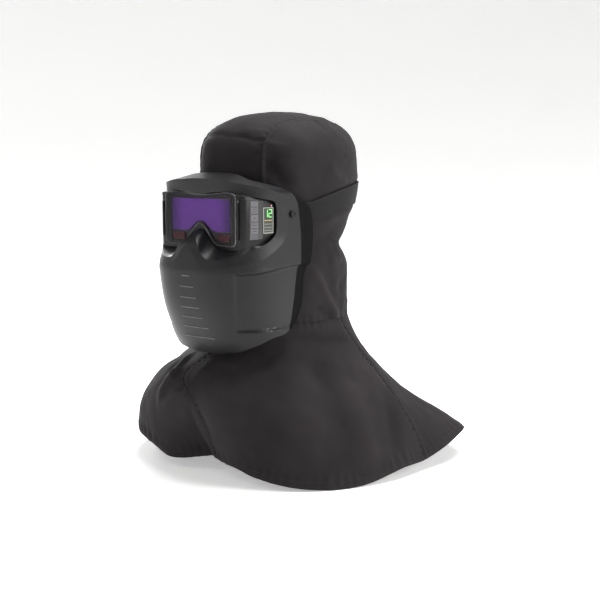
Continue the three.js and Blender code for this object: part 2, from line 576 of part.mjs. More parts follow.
// The same spokes further out: crease is the outer edge of the bevel and rim the shell's
// outline. Ledge says how much of LEDGE_DEPTH the rim lies behind the surface.
const RIM_SPOKES = [
  { crease: 0.0, creaseDrop: 0.029, rim: 0.0, rimDrop: 0.0, ledge: 1 },
  { crease: 0.09, creaseDrop: 0.03, rim: 0.09, rimDrop: 0.0, ledge: 1 },
  { crease: 0.2, creaseDrop: 0.035, rim: 0.2, rimDrop: 0.003, ledge: 1 },
  { crease: 0.305, creaseDrop: 0.039, rim: 0.3, rimDrop: 0.009, ledge: 0.95 },
  { crease: 0.42, creaseDrop: 0.052, rim: 0.43, rimDrop: 0.022, ledge: 0.85 },
  { crease: 0.53, creaseDrop: 0.065, rim: 0.56, rimDrop: 0.037, ledge: 0.7 },
  { crease: 0.63, creaseDrop: 0.078, rim: 0.69, rimDrop: 0.052, ledge: 0.5 },
  { crease: 0.74, creaseDrop: 0.095, rim: 0.82, rimDrop: 0.074, ledge: 0.25 },
  { crease: 0.815, creaseDrop: 0.117, rim: 0.93, rimDrop: 0.104, ledge: 0.06 },
  { crease: 0.858, creaseDrop: 0.152, rim: 0.99, rimDrop: 0.156, ledge: 0 },
  { crease: 0.864, creaseDrop: 0.221, rim: 1.0, rimDrop: 0.229, ledge: 0 },
  { crease: 0.855, creaseDrop: 0.299, rim: 1.0, rimDrop: 0.325, ledge: 0 },
  { crease: 0.825, creaseDrop: 0.364, rim: 1.0, rimDrop: 0.415, ledge: 0 },
  { crease: 0.75, creaseDrop: 0.411, rim: 1.0, rimDrop: 0.503, ledge: 0 },
  { crease: 0.665, creaseDrop: 0.446, rim: 1.0, rimDrop: 0.54, ledge: 0 },
  { crease: 0.59, creaseDrop: 0.468, rim: 1.0, rimDrop: 0.69, ledge: 0 },
  { crease: 0.51, creaseDrop: 0.481, rim: 0.98, rimDrop: 0.866, ledge: 0 },
  { crease: 0.434, creaseDrop: 0.489, rim: 0.77, rimDrop: 0.905, ledge: 0 },
  { crease: 0.36, creaseDrop: 0.496, rim: 0.6, rimDrop: 0.944, ledge: 0 },
  { crease: 0.29, creaseDrop: 0.5, rim: 0.45, rimDrop: 0.976, ledge: 0 },
  { crease: 0.217, creaseDrop: 0.502, rim: 0.33, rimDrop: 0.987, ledge: 0 },
  { crease: 0.15, creaseDrop: 0.494, rim: 0.24, rimDrop: 0.994, ledge: 0 },
  { crease: 0.095, creaseDrop: 0.463, rim: 0.16, rimDrop: 0.998, ledge: 0 },
  { crease: 0.065, creaseDrop: 0.429, rim: 0.09, rimDrop: 1.0, ledge: 0 },
  { crease: 0.035, creaseDrop: 0.398, rim: 0.04, rimDrop: 1.0, ledge: 0 },
  { crease: 0.0, creaseDrop: 0.383, rim: 0.0, rimDrop: 1.0, ledge: 0 },
];
const SHELL_SPOKES = WINDOW_SPOKES.map((spoke, i) => ({ ...spoke, ...RIM_SPOKES[i] }));
const SHELL_STEPS = [0.12, 0.3, 0.5, 0.72, 0.88, 1]; // shares of the way from the crease to the rim

const smooth = (from, to, value) => THREE.MathUtils.smoothstep(value, from, to);

// How far the cheek's flat lies below the shell's surface.
function cheekDepth(round, drop) {
  const step = mix(0.535, 0.505, smooth(0.55, 0.95, Math.abs(round)));
  return CHEEK_RECESS * smooth(0.38, 0.47, Math.abs(round)) * smooth(step, step + 0.02, drop)
    * (1 - smooth(0.84, 0.88, drop));
}

// One spoke of the shell: its outer points from the seat to the rim, with the inner ones.
function shellSpoke(spoke, sign) {
  const outer = [];
  const inner = [];
  const seat = gogglePath(sign * spoke.seat * GOGGLE_PATH_LENGTH);
  const seatNormal = new THREE.Vector3(seat.normal.x, seat.normal.y, 0);
  const seatPoint = new THREE.Vector3(seat.point.x, seat.point.y, shellZ(spoke.seatDrop))
    .add(goggle.position)
    .addScaledVector(seatNormal, SEAT_GAP);
  const window = shellPoint(sign * spoke.window, spoke.windowDrop);
  const crease = shellPoint(sign * spoke.crease, spoke.creaseDrop)
    .addScaledVector(shellNormal(sign * spoke.crease, spoke.creaseDrop), 0.001);
  const outward = crease.clone().sub(window);
  outward.addScaledVector(seatNormal, -outward.dot(seatNormal)).normalize();
  outer.push(seatPoint);
  inner.push(seatPoint.clone().addScaledVector(outward, SHELL_WALL));
  const windowNormal = shellNormal(sign * spoke.window, spoke.windowDrop);
  outer.push(window);
  const behind = window.clone().addScaledVector(windowNormal, -SHELL_WALL);
  inner.push(behind.addScaledVector(outward, SHELL_WALL));
  for (const share of [0, ...SHELL_STEPS]) {
    const round = sign * mix(spoke.crease, spoke.rim, share);
    const drop = mix(spoke.creaseDrop, spoke.rimDrop, share);
    const normal = shellNormal(round, Math.max(drop, SHELL_SECTIONS[0].drop));
    const level = spoke.ledge > 0 ? Math.max(drop, spoke.creaseDrop) : drop;
    const depth = cheekDepth(round, drop) + LEDGE_DEPTH * spoke.ledge * share;
    const point = shellPoint(round, level).addScaledVector(normal, -depth);
    point.z = shellZ(drop);
    const below = new THREE.Vector3(0, 0, -1);
    const tilt = share > 0 ? spoke.ledge : spoke.ledge / 2;
    const through = normal.clone().negate().lerp(below, tilt).normalize();
    outer.push(point);
    inner.push(point.clone().addScaledVector(through, SHELL_WALL));
  }
  return { outer, inner };
}

function maskShell() {
  const spokes = [];
  for (const spoke of SHELL_SPOKES) spokes.push(shellSpoke(spoke, 1));
  for (const spoke of SHELL_SPOKES.slice(1, -1).reverse()) spokes.push(shellSpoke(spoke, -1));
  const rowsOf = (skin) => spokes[0][skin].map((_, r) => spokes.map((spoke) => spoke[skin][r]));
  return wallFromGrids(rowsOf('outer'), rowsOf('inner'), true);
}

addPiece(mask, 'mask_shell', maskShell(), SHELL_PLASTIC);

// The height of an edge with a wave in it, at a distance from the middle plane.
const waveAt = (x) => (1 - Math.cos((2 * Math.PI * Math.min(Math.abs(x), WAVE_LENGTH)) / WAVE_LENGTH)) / 2;

// The height of a lower edge with a notch for the nose in its middle.
function notchedEdge(x, bottom, notchTop, notchHalf) {
  const share = Math.min(Math.abs(x) / notchHalf, 1);
  return bottom + ((notchTop - bottom) * (1 + Math.cos(Math.PI * share))) / 2;
}

// A closed outline that goes round once: a top edge with a wave in it, round corners, and a
// bottom edge with a notch for the nose.
function lensOutline({ half, top, bottom, corner, notchHalf, notchTop, wave }) {
  const points = [];
  const topSteps = wave > 0 ? 10 : 1;
  const cornerSteps = 3;
  const notchSteps = 7;
  for (let i = 0; i <= topSteps; i += 1) {
    const x = ((half - corner) * i) / topSteps;
    points.push(new THREE.Vector2(x, top + wave * waveAt(x)));
  }
  const highEnd = points.at(-1).y - corner;
  const lowEnd = bottom + corner;
  for (let i = 1; i <= cornerSteps; i += 1) {
    const turn = (Math.PI / 2) * (i / cornerSteps);
    const out = half - corner + corner * Math.sin(turn);
    points.push(new THREE.Vector2(out, highEnd + corner * Math.cos(turn)));
  }
  for (let i = 0; i <= cornerSteps; i += 1) {
    const turn = (Math.PI / 2) * (i / cornerSteps);
    const out = half - corner + corner * Math.cos(turn);
    points.push(new THREE.Vector2(out, lowEnd - corner * Math.sin(turn)));
  }
  for (let i = 0; i <= notchSteps; i += 1) {
    const x = notchHalf * (1 - i / notchSteps);
    points.push(new THREE.Vector2(x, notchedEdge(x, bottom, notchTop, notchHalf)));
  }
  const other = points.slice(1, -1).reverse().map((p) => new THREE.Vector2(-p.x, p.y));
  return [...points, ...other];
}

// Point on the goggle: a distance along its path, a height, and how far it lies below its front.
function gogglePoint(along, z, depth) {
  const { point, normal } = gogglePath(along);
  return new THREE.Vector3(point.x - normal.x * depth, point.y - normal.y * depth, z);
}

const GLASS_BAND = 13; // the strip below the purple glass that holds the solar cells
const OPENING_OUTLINE = {
  half: GLASS_HALF_WIDTH + SEAT_GAP,
  top: GLASS_TOP + SEAT_GAP,
  bottom: GLASS_TOP - GLASS_HEIGHT - GLASS_BAND,
  corner: 3,
  notchHalf: FRAME_NOTCH_HALF - 1.5,
  notchTop: GLASS_TOP - GLASS_NOTCH_TOP + SEAT_GAP,
  wave: 0,
};

// A flat upright plate from its outline, with its front in the plane y = 0.
function flatPlate(outline, thickness) {
  const shape = new THREE.Shape(outline);
  const geometry = new THREE.ExtrudeGeometry(shape, { depth: thickness, bevelEnabled: false });
  geometry.rotateX(Math.PI / 2);
  geometry.translate(0, thickness, 0);
  return geometry;
}

// Adds a plate to the goggle, with its front this far behind the front of the housing.
function addPlate(name, outline, behind, thickness, finish) {
  const plate = addPiece(goggle, name, flatPlate(outline, thickness), finish);
  plate.position.y = behind;
}

// A closed geometry as a solid that can be cut.
function solid(geometry) {
  const bare = geometry.clone();
  bare.deleteAttribute('normal');
  bare.deleteAttribute('uv');
  const merged = mergeVertices(bare, 1e-4);
  return new wasm.Manifold(new wasm.Mesh({
    numProp: 3,
    vertProperties: new Float32Array(merged.attributes.position.array),
    triVerts: new Uint32Array(merged.index.array),
  }));
}

function geometryOf(manifold) {
  const mesh = manifold.getMesh();
  const geometry = new THREE.BufferGeometry();
  geometry.setAttribute('position', new THREE.BufferAttribute(new Float32Array(mesh.vertProperties), 3));
  geometry.setIndex(Array.from(mesh.triVerts));
  return geometry;
}

// The goggle's housing: a channel that is open behind and follows the goggle's path, with the
// opening for the filter cut through its front.
function goggleFrame() {
  const flat = GOGGLE_HALF_WIDTH - GOGGLE_CORNER;
  const stations = [];
  for (let i = 0; i < 9; i += 1) stations.push((FRAME_NOTCH_HALF * i) / 8);
  for (const share of [0.3, 0.65, 1]) stations.push(mix(FRAME_NOTCH_HALF, flat, share));
  for (const share of [0.33, 0.67, 1]) stations.push(flat + 1.6 * GOGGLE_CORNER * share);
  const corner = stations.at(-1);
  for (const share of [0.33, 0.67, 1]) stations.push(mix(corner, GOGGLE_PATH_LENGTH - 1, share));
  const across = [...stations.slice(1).reverse().map((x) => -x), ...stations];
  const fall = (along) => FRAME_TAPER * Math.max(Math.abs(along) - GOGGLE_HALF_WIDTH, 0);
  const topAt = (along) => GOGGLE_TOP + BROW_WAVE * waveAt(along) - fall(along);
  const lowest = GOGGLE_TOP - GOGGLE_HEIGHT;
  const notchTop = GOGGLE_TOP - FRAME_NOTCH_TOP;
  const bottomAt = (along) => notchedEdge(along, lowest, notchTop, FRAME_NOTCH_HALF) + fall(along);
  const row = (height, depth) => across.map((along) => gogglePoint(along, height(along), depth));
  const outer = [row(topAt, FRAME_DEPTH), row(topAt, 0), row(bottomAt, 0), row(bottomAt, FRAME_DEPTH)];
  const topInside = (along) => topAt(along) - GOGGLE_WALL;
  const bottomInside = (along) => bottomAt(along) + GOGGLE_WALL;
  const inner = [
    row(topInside, FRAME_DEPTH),
    row(topInside, GOGGLE_WALL),
    row(bottomInside, GOGGLE_WALL),
    row(bottomInside, FRAME_DEPTH),
  ];
  const cut = flatPlate(lensOutline(OPENING_OUTLINE), GOGGLE_WALL + 2);
  cut.translate(0, -1, 0);
  return geometryOf(solid(wallFromGrids(outer, inner, false)).subtract(solid(cut)));
}
addPiece(goggle, 'goggle_frame', goggleFrame(), HOUSING_PLASTIC);

const COVER_OUTLINE = {
  half: LENS_HALF_WIDTH,
  top: LENS_TOP,
  bottom: LENS_TOP - LENS_HEIGHT,
  corner: 6,
  notchHalf: FRAME_NOTCH_HALF + 1,
  notchTop: LENS_TOP - LENS_NOTCH_TOP,
  wave: BROW_WAVE,
};
const lensBehind = -SEAT_GAP - LENS_THICKNESS;
addPlate('cover_lens', lensOutline(COVER_OUTLINE), lensBehind, LENS_THICKNESS, CLEAR_LENS);

const GLASS_OUTLINE = {
  half: GLASS_HALF_WIDTH,
  top: GLASS_TOP,
  bottom: GLASS_TOP - GLASS_HEIGHT,
  corner: 3,
  notchHalf: FRAME_NOTCH_HALF - 5,
  notchTop: GLASS_TOP - GLASS_NOTCH_TOP + 1.2,
  wave: 0,
};
const glassDepth = GOGGLE_WALL - SEAT_GAP;
addPlate('filter_glass', lensOutline(GLASS_OUTLINE), SEAT_GAP, glassDepth, FILTER_PURPLE);

const CARTRIDGE_OUTLINE = {
  half: GLASS_HALF_WIDTH + CARTRIDGE_LIP,
  top: GLASS_TOP + CARTRIDGE_LIP / 2,
  bottom: GLASS_TOP - GLASS_HEIGHT - GLASS_BAND - CARTRIDGE_LIP / 2,
  corner: 4,
  notchHalf: FRAME_NOTCH_HALF + 1,
  notchTop: GLASS_TOP - GLASS_NOTCH_TOP - CARTRIDGE_LIP,
  wave: 0,
};
const cartridgeBehind = GOGGLE_WALL + SEAT_GAP;
const cartridgeOutline = lensOutline(CARTRIDGE_OUTLINE);
addPlate('filter_cartridge', cartridgeOutline, cartridgeBehind, CARTRIDGE_DEPTH, HOUSING_PLASTIC);

const SOLAR_MARGIN = 1.4; // round a solar cell in the strip below the glass
const solarWidth = GLASS_HALF_WIDTH - SOLAR_MARGIN / 2 - SOLAR_INNER;
for (const [name, side] of [['solar_cell_left', 1], ['solar_cell_right', -1]]) {
  const box = new THREE.BoxGeometry(solarWidth, glassDepth, SOLAR_HEIGHT);
  const cell = addPiece(goggle, name, box, SOLAR_RED);
  cell.position.set(
    side * (SOLAR_INNER + solarWidth / 2),
    SEAT_GAP + glassDepth / 2,
    GLASS_TOP - GLASS_HEIGHT - GLASS_BAND + SOLAR_MARGIN + SOLAR_HEIGHT / 2,
  );
}

// A tile that follows the goggle's side: from and to along the path, with the top and bottom as
// functions of the place along it, its lift above the goggle's surface and its thickness.
function goggleTile({ from, to, top, bottom, lift, thickness, columns }) {
  const skin = (height) => [0, 1].map((low) => {
    const row = [];
    for (let c = 0; c <= columns; c += 1) {
      const along = mix(from, to, c / columns);
      row.push(gogglePoint(along, low ? bottom(along) : top(along), -height));
    }
    return row;
  });
  return wallFromGrids(skin(lift + thickness), skin(lift), false);
}

// The control panel on the wearer's left side of the goggle
const PANEL_FROM = GOGGLE_HALF_WIDTH - 2.5;
const PANEL_LENGTH = 47.5;
const PANEL_TOP = GOGGLE_TOP - 3.9;
const PANEL_BOTTOM = GOGGLE_TOP - GOGGLE_HEIGHT + 10.9;
const PANEL_THICKNESS = 1.8;
const panelTop = (along) => PANEL_TOP - 0.15 * (along - PANEL_FROM);
const panelBottom = (along) => PANEL_BOTTOM + 0.17 * (along - PANEL_FROM);
addPiece(goggle, 'control_panel', goggleTile({
  from: PANEL_FROM,
  to: PANEL_FROM + PANEL_LENGTH,
  top: panelTop,
  bottom: panelBottom,
  lift: SEAT_GAP,
  thickness: PANEL_THICKNESS,
  columns: 20,
}), HOUSING_PLASTIC);

// Heights of the keys' tops and bottoms, as shares of the panel's height.
const KEYS = [
  { top: 0.07, bottom: 0.175 },
  { top: 0.2, bottom: 0.335 },
  { top: 0.365, bottom: 0.52 },
  { top: 0.555, bottom: 0.665 },
  { top: 0.695, bottom: 0.8 },
];
const KEY_FROM = 11; // from the panel's front end
const KEY_WIDTH = 12;
const KEY_RISE = 0.9;
const panelHeight = PANEL_TOP - PANEL_BOTTOM;
const onPanel = (share) => () => PANEL_TOP - share * panelHeight;
const panelFace = SEAT_GAP + PANEL_THICKNESS + SEAT_GAP;
KEYS.forEach((key, index) => {
  addPiece(goggle, `key_${index + 1}`, goggleTile({
    from: PANEL_FROM + KEY_FROM,
    to: PANEL_FROM + KEY_FROM + KEY_WIDTH,
    top: onPanel(key.top),
    bottom: onPanel(key.bottom),
    lift: panelFace,
    thickness: KEY_RISE,
    columns: 2,
  }), KEY_GREY);
});

const DISPLAY_FROM = 31;
const DISPLAY_WIDTH = 15.5;
addPiece(goggle, 'display', goggleTile({
  from: PANEL_FROM + DISPLAY_FROM,
  to: PANEL_FROM + DISPLAY_FROM + DISPLAY_WIDTH,
  top: onPanel(0.215),
  bottom: onPanel(0.8),
  lift: panelFace,
  thickness: KEY_RISE,
  columns: 2,
}), DISPLAY_DARK);

// Adds a short round stud that stands on a point, with its axis along the direction.
function addStud(group, name, { point, direction, radius, height, sides }, finish) {
  const stud = addPiece(group, name, new THREE.CylinderGeometry(radius, radius, height, sides), finish);
  stud.position.copy(point).addScaledVector(direction, SEAT_GAP + height / 2);
  stud.quaternion.setFromUnitVectors(new THREE.Vector3(0, 1, 0), direction);
}

const goggleNormal = (along) => {
  const { normal } = gogglePath(along);
  return new THREE.Vector3(normal.x, normal.y, 0);
};
const LIGHT_FROM = 44; // from the panel's front end
const LIGHT_SHARE = 0.174; // of the panel's height
const SENSOR_ALONG = GOGGLE_HALF_WIDTH - 6;
addStud(goggle, 'status_light', {
  point: gogglePoint(PANEL_FROM + LIGHT_FROM, onPanel(LIGHT_SHARE)(), -SEAT_GAP - PANEL_THICKNESS),
  direction: goggleNormal(PANEL_FROM + LIGHT_FROM),
  radius: 1.1,
  height: 0.8,
  sides: 10,
}, LAMP_PINK);
addStud(goggle, 'light_sensor', {
  point: gogglePoint(SENSOR_ALONG, LENS_TOP - 6.5, 0),
  direction: goggleNormal(SENSOR_ALONG),
  radius: 1.7,
  height: 1.2,
  sides: 10,
}, DISPLAY_DARK);

// Rivet heads that fasten the shell to the goggle at the temples
const FASTENER_ROUND_SHARE = 0.915;
const FASTENER_DROP_SHARE = 0.225;
for (const [name, side] of [['temple_fastener_left', 1], ['temple_fastener_right', -1]]) {
  addStud(mask, name, {
    point: shellPoint(side * FASTENER_ROUND_SHARE, FASTENER_DROP_SHARE),
    direction: shellNormal(side * FASTENER_ROUND_SHARE, FASTENER_DROP_SHARE),
    radius: FASTENER_RADIUS,
    height: FASTENER_HEIGHT,
    sides: 16,
  }, SOFT_BLACK);
}

// The soft flaps behind the shell's rear edge. Drop is a share of their height and reach a share
// of FLAP_REACH.
const FLAP_SECTIONS = [
  { drop: 0.0, reach: 0.45 },
  { drop: 0.06, reach: 0.9 },
  { drop: 0.14, reach: 1.0 },
  { drop: 0.3, reach: 0.93 },
  { drop: 0.45, reach: 0.8 },
  { drop: 0.6, reach: 0.6 },
  { drop: 0.72, reach: 0.66 },
  { drop: 0.85, reach: 0.6 },
  { drop: 0.95, reach: 0.35 },
  { drop: 1.0, reach: 0.14 },
];
const REAR_EDGE_SHARE = 0.98; // spokes whose rim is on the shell's rear edge
function sideFlap() {
  const columns = 3;
  const rearSpokes = SHELL_SPOKES.filter((spoke) => spoke.rim >= REAR_EDGE_SHARE);
  const edges = [];
  for (const spoke of rearSpokes) {
    const point = shellSpoke(spoke, 1).outer.at(-1);
    if (edges.length > 0) edges.push(edges.at(-1).clone().lerp(point, 0.5));
    edges.push(point);
  }
  const top = edges[0].z;
  const height = top - edges.at(-1).z;
  return edges.map((edge) => {
    const reach = FLAP_REACH * readTable(FLAP_SECTIONS, 'drop', 'reach', (top - edge.z) / height);
    const row = [];
    for (let c = 0; c <= columns; c += 1) {
      const back = (reach * c) / columns;
      const x = edge.x - SEAT_GAP + (FLAP_FLARE * back) / FLAP_REACH;
      row.push(new THREE.Vector3(x, edge.y + SEAT_GAP + back, edge.z));
    }
    return row;
  });
}
const flapOuter = sideFlap();
const flapInner = flapOuter.map((row) => row.map((p) => new THREE.Vector3(p.x - FLAP_THICKNESS, p.y, p.z)));
const leftFlap = wallFromGrids(flapOuter, flapInner, false);
const rightFlap = wallFromGrids(mirrored(flapOuter), mirrored(flapInner), false);
addPiece(mask, 'side_flap_left', leftFlap, SOFT_BLACK);
addPiece(mask, 'side_flap_right', rightFlap, SOFT_BLACK);

// The head strap: from inside the goggle's side, past its rear end, then round the hood.
function headStrap() {
  const steps = 14;
  const knee = new THREE.Vector2(
    GOGGLE_SIDE_END.x - GOGGLE_WALL - SEAT_GAP,
    GOGGLE_SIDE_END.y - GOGGLE_FRONT + 1,
  );
  const startAngle = THREE.MathUtils.degToRad(STRAP_MEETS_HOOD);
  const station = (index, height, lift) => {
    const angle = index < 2 ? startAngle : mix(startAngle, Math.PI, (index - 2) / (steps - 2));
    const share = (angle - startAngle) / (Math.PI - startAngle);
    const middle = mix(STRAP_FRONT_Z, STRAP_BACK_Z, 1 - (1 - share) ** STRAP_RISE);
    const z = middle + (STRAP_WIDTH / 2) * height;
    if (index < 2) {
      const x = knee.x - STRAP_THICKNESS + lift - (index === 0 ? STRAP_TUCK * 0.16 : 0);
      return new THREE.Vector3(x, index === 0 ? knee.y - STRAP_TUCK : knee.y, z);
    }
    const point = sectionPoint(angle, z);
    return point.addScaledVector(hoodNormal(point).setZ(0).normalize(), STRAP_CLEARANCE + lift);
  };
  const skin = (lift) => [1, 0, -1].map((height) => {
    const row = [];
    for (let i = 0; i <= steps; i += 1) row.push(station(i, height, lift));
    for (let i = steps - 1; i >= 0; i -= 1) {
      const p = station(i, height, lift);
      row.push(new THREE.Vector3(-p.x, p.y, p.z));
    }
    return row;
  });
  return wallFromGrids(skin(STRAP_THICKNESS), skin(0), false);
}
addPiece(mask, 'head_strap', headStrap(), SOFT_BLACK);

export default helmet;
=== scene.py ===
"""Looks of a welding mask with goggle, strapped over a cloth hood that ends in a shoulder cape.

Lengths are in millimetres and become metres where a mesh is made. +Z is up, the face looks along -Y
and the wearer's left is +X.
"""

from __future__ import annotations

import logging
import math
from dataclasses import dataclass, field
from enum import Enum
from functools import partial
from typing import Callable, Sequence

import bpy
import numpy as np
from mathutils import Matrix, Vector, noise
from mathutils.kdtree import KDTree

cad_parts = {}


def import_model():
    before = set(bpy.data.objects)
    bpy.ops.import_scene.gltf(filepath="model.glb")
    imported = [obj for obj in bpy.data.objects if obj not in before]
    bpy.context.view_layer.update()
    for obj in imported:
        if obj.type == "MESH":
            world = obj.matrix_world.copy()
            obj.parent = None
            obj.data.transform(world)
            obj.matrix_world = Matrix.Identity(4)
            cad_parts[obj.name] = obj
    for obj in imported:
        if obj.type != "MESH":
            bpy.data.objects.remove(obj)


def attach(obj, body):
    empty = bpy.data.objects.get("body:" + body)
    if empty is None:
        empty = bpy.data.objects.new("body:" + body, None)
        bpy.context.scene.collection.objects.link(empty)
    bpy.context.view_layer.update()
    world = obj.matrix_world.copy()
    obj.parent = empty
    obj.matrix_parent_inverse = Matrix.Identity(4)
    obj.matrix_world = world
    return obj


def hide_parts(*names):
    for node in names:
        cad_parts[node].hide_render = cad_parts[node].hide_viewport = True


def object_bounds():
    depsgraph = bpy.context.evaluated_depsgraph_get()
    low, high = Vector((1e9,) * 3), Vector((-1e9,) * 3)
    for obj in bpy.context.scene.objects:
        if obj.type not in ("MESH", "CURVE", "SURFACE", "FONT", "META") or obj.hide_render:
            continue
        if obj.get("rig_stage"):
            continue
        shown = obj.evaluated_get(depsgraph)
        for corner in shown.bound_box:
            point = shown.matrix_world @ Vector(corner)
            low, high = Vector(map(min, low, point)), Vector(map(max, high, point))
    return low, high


MM = 0.001
BODY = "root"
log = logging.getLogger("welding_mask")

Point = tuple[float, float, float]
Piece = bpy.types.Object
Values = np.ndarray | float


def mix(a: float, b: float, share: float) -> float:
    """Returns the value this share of the way from a to b."""
    return a + (b - a) * share


def power(value: Values, exponent: float) -> Values:
    """Returns values to the exponent, with values below zero taken as zero."""
    return np.maximum(value, 0.0) ** exponent


def smoothstep(low: float, high: float, value: Values) -> Values:
    """Returns 0 below low, 1 above high and a smooth ramp between them."""
    share = np.clip((value - low) / (high - low), 0.0, 1.0)
    return share * share * (3 - 2 * share)


def points_of(x: Values, y: Values, z: Values) -> np.ndarray:
    """Returns points from their coordinates, which may be arrays of any one shape."""
    return np.stack(np.broadcast_arrays(x, y, z), axis=-1).astype(float)


def spread(columns: int, rows: int, place: Callable[[np.ndarray, np.ndarray], np.ndarray]) -> np.ndarray:
    """Returns a grid of points.

    Args:
        columns: faces across it.
        rows: faces down it.
        place: gives the points for shares across and shares down.
    """
    across, down = np.meshgrid(np.linspace(0, 1, columns + 1), np.linspace(0, 1, rows + 1))
    return place(across, down)


class Table:
    """Rows of named numbers, read on a smooth curve by their first column."""

    def __init__(self, columns: str, rows: Sequence[Sequence[float]]) -> None:
        """Keeps the rows under their column names.

        Args:
            columns: the names, parted by spaces; the first one orders the rows.
            rows: the numbers, a row for each section.
        """
        self.names = columns.split()
        self.rows = np.array(rows, float)

    def read(self, name: str, at: Values) -> np.ndarray:
        """Returns the values of a column on a smooth curve through its rows.

        Args:
            name: the column.
            at: the places, in the first column's units.
        """
        keys, values = self.rows[:, 0], self.rows[:, self.names.index(name)]
        last = len(keys) - 1
        i = np.clip(np.searchsorted(keys, at) - 1, 0, last - 1)
        left, right = np.maximum(i - 1, 0), np.minimum(i + 2, last)
        span = keys[i + 1] - keys[i]
        t = np.clip((at - keys[i]) / span, 0.0, 1.0)
        slope_a = (values[i + 1] - values[left]) / (keys[i + 1] - keys[left]) * span
        slope_b = (values[right] - values[i]) / (keys[right] - keys[i]) * span
        t2, t3 = t * t, t * t * t
        ends = (2 * t3 - 3 * t2 + 1) * values[i] + (3 * t2 - 2 * t3) * values[i + 1]
        return ends + (t3 - 2 * t2 + t) * slope_a + (t3 - t2) * slope_b


def linear(code: str) -> tuple[float, float, float, float]:
    """Returns an sRGB hex colour as linear red, green, blue and 1."""
    parts = [int(code[i : i + 2], 16) / 255 for i in (1, 3, 5)]
    return (*[c / 12.92 if c <= 0.04045 else ((c + 0.055) / 1.055) ** 2.4 for c in parts], 1.0)


def wire(node: bpy.types.Node, inputs: dict) -> bpy.types.Node:
    """Sets a node's inputs by name or number: sockets are linked and hex colours made linear."""
    for name, value in inputs.items():
        if isinstance(value, bpy.types.NodeSocket):
            node.id_data.links.new(value, node.inputs[name])
        else:
            node.inputs[name].default_value = linear(value) if isinstance(value, str) else value
    return node


def add_node(
    material: bpy.types.Material, kind: str, inputs: dict | None = None, **settings
) -> bpy.types.Node:
    """Adds a node to a material.

    Args:
        material: the material, which uses nodes.
        kind: the node's type.
        inputs: values for its inputs, as wire takes them.
        **settings: the node's own settings.

    Returns:
        The new node.
    """
    node = material.node_tree.nodes.new(kind)
    for name, value in settings.items():
        setattr(node, name, value)
    return wire(node, inputs or {})


def surface(name: str, sockets: dict) -> tuple[bpy.types.Material, bpy.types.Node]:
    """Makes a material with one Principled shader.

    Args:
        name: the material's name.
        sockets: the shader's plain values by input name.

    Returns:
        The material and its shader node.
    """
    material = bpy.data.materials.new(name)
    material.use_nodes = True
    material.node_tree.nodes.clear()
    shader = add_node(material, "ShaderNodeBsdfPrincipled", sockets)
    add_node(material, "ShaderNodeOutputMaterial", {"Surface": shader.outputs["BSDF"]})
    return material, shader


@dataclass(frozen=True)
class ClothFinish:
    """Woven cloth with a nap; it reads the cut's own UV, in metres, and the rise of its folds, which
    darkens the hollows as painted shade.

    Attributes:
        name: the material's name.
        shaded_hollow: colour in the folds' hollows, where light doesn't reach: painted shade.
        ridge: colour on their ridges, where the nap is rubbed.
        rib: distance between the weave's diagonal ribs, in millimetres.
        roughness: of the thread.
        sheen: how much the nap shines at grazing angles.
    """

    name: str
    shaded_hollow: str
    ridge: str
    rib: float
    roughness: float
    sheen: float

    def build(self) -> bpy.types.Material:
        """Returns the finished material."""
        sockets = {
            "Roughness": self.roughness,
            "IOR": 1.47,
            "Sheen Weight": self.sheen,
            "Sheen Roughness": 0.45,
            "Sheen Tint": "#9a9296",
            "Specular IOR Level": 0.2,
        }
        material, shader = surface(self.name, sockets)
        uv = add_node(material, "ShaderNodeUVMap", uv_map="UVMap").outputs["UV"]
        mottle_inputs = {"Vector": uv, "Scale": 26.0, "Detail": 4.0, "Roughness": 0.6}
        mottle = add_node(material, "ShaderNodeTexNoise", mottle_inputs).outputs["Fac"]
        rise = add_node(material, "ShaderNodeAttribute", attribute_name="rise").outputs["Fac"]
        add = {"operation": "MULTIPLY_ADD"}
        # The folds' rise mixes the colour from the painted shade of the hollows to the rubbed nap of the
        # ridges.
        wear_and_shade = add_node(material, "ShaderNodeMath", {0: rise, 1: 0.55, 2: 0.18}, **add).outputs[0]
        mixed = add_node(material, "ShaderNodeMath", {0: mottle, 1: 0.5, 2: wear_and_shade}, use_clamp=True, **add)
        tones = {"Factor": mixed.outputs[0], "A": self.shaded_hollow, "B": self.ridge}
        colour = add_node(material, "ShaderNodeMix", tones, data_type="RGBA")
        ribs_per_metre = 2 * math.pi / (10 * self.rib * MM)
        weave_inputs = {"Vector": uv, "Scale": ribs_per_metre, "Distortion": 1.2, "Detail": 2.0}
        weave = add_node(material, "ShaderNodeTexWave", weave_inputs, bands_direction="DIAGONAL")
        nap = add_node(material, "ShaderNodeTexNoise", {"Vector": uv, "Scale": 900.0, "Detail": 3.0})
        heights = {0: nap.outputs["Fac"], 1: 0.7, 2: weave.outputs["Fac"]}
        thread = add_node(material, "ShaderNodeMath", heights, **add).outputs[0]
        bump_inputs = {"Height": thread, "Strength": 0.22, "Distance": 0.25 * MM}
        bump = add_node(material, "ShaderNodeBump", bump_inputs)
        wire(shader, {"Base Color": colour.outputs["Result"], "Normal": bump.outputs["Normal"]})
        return material


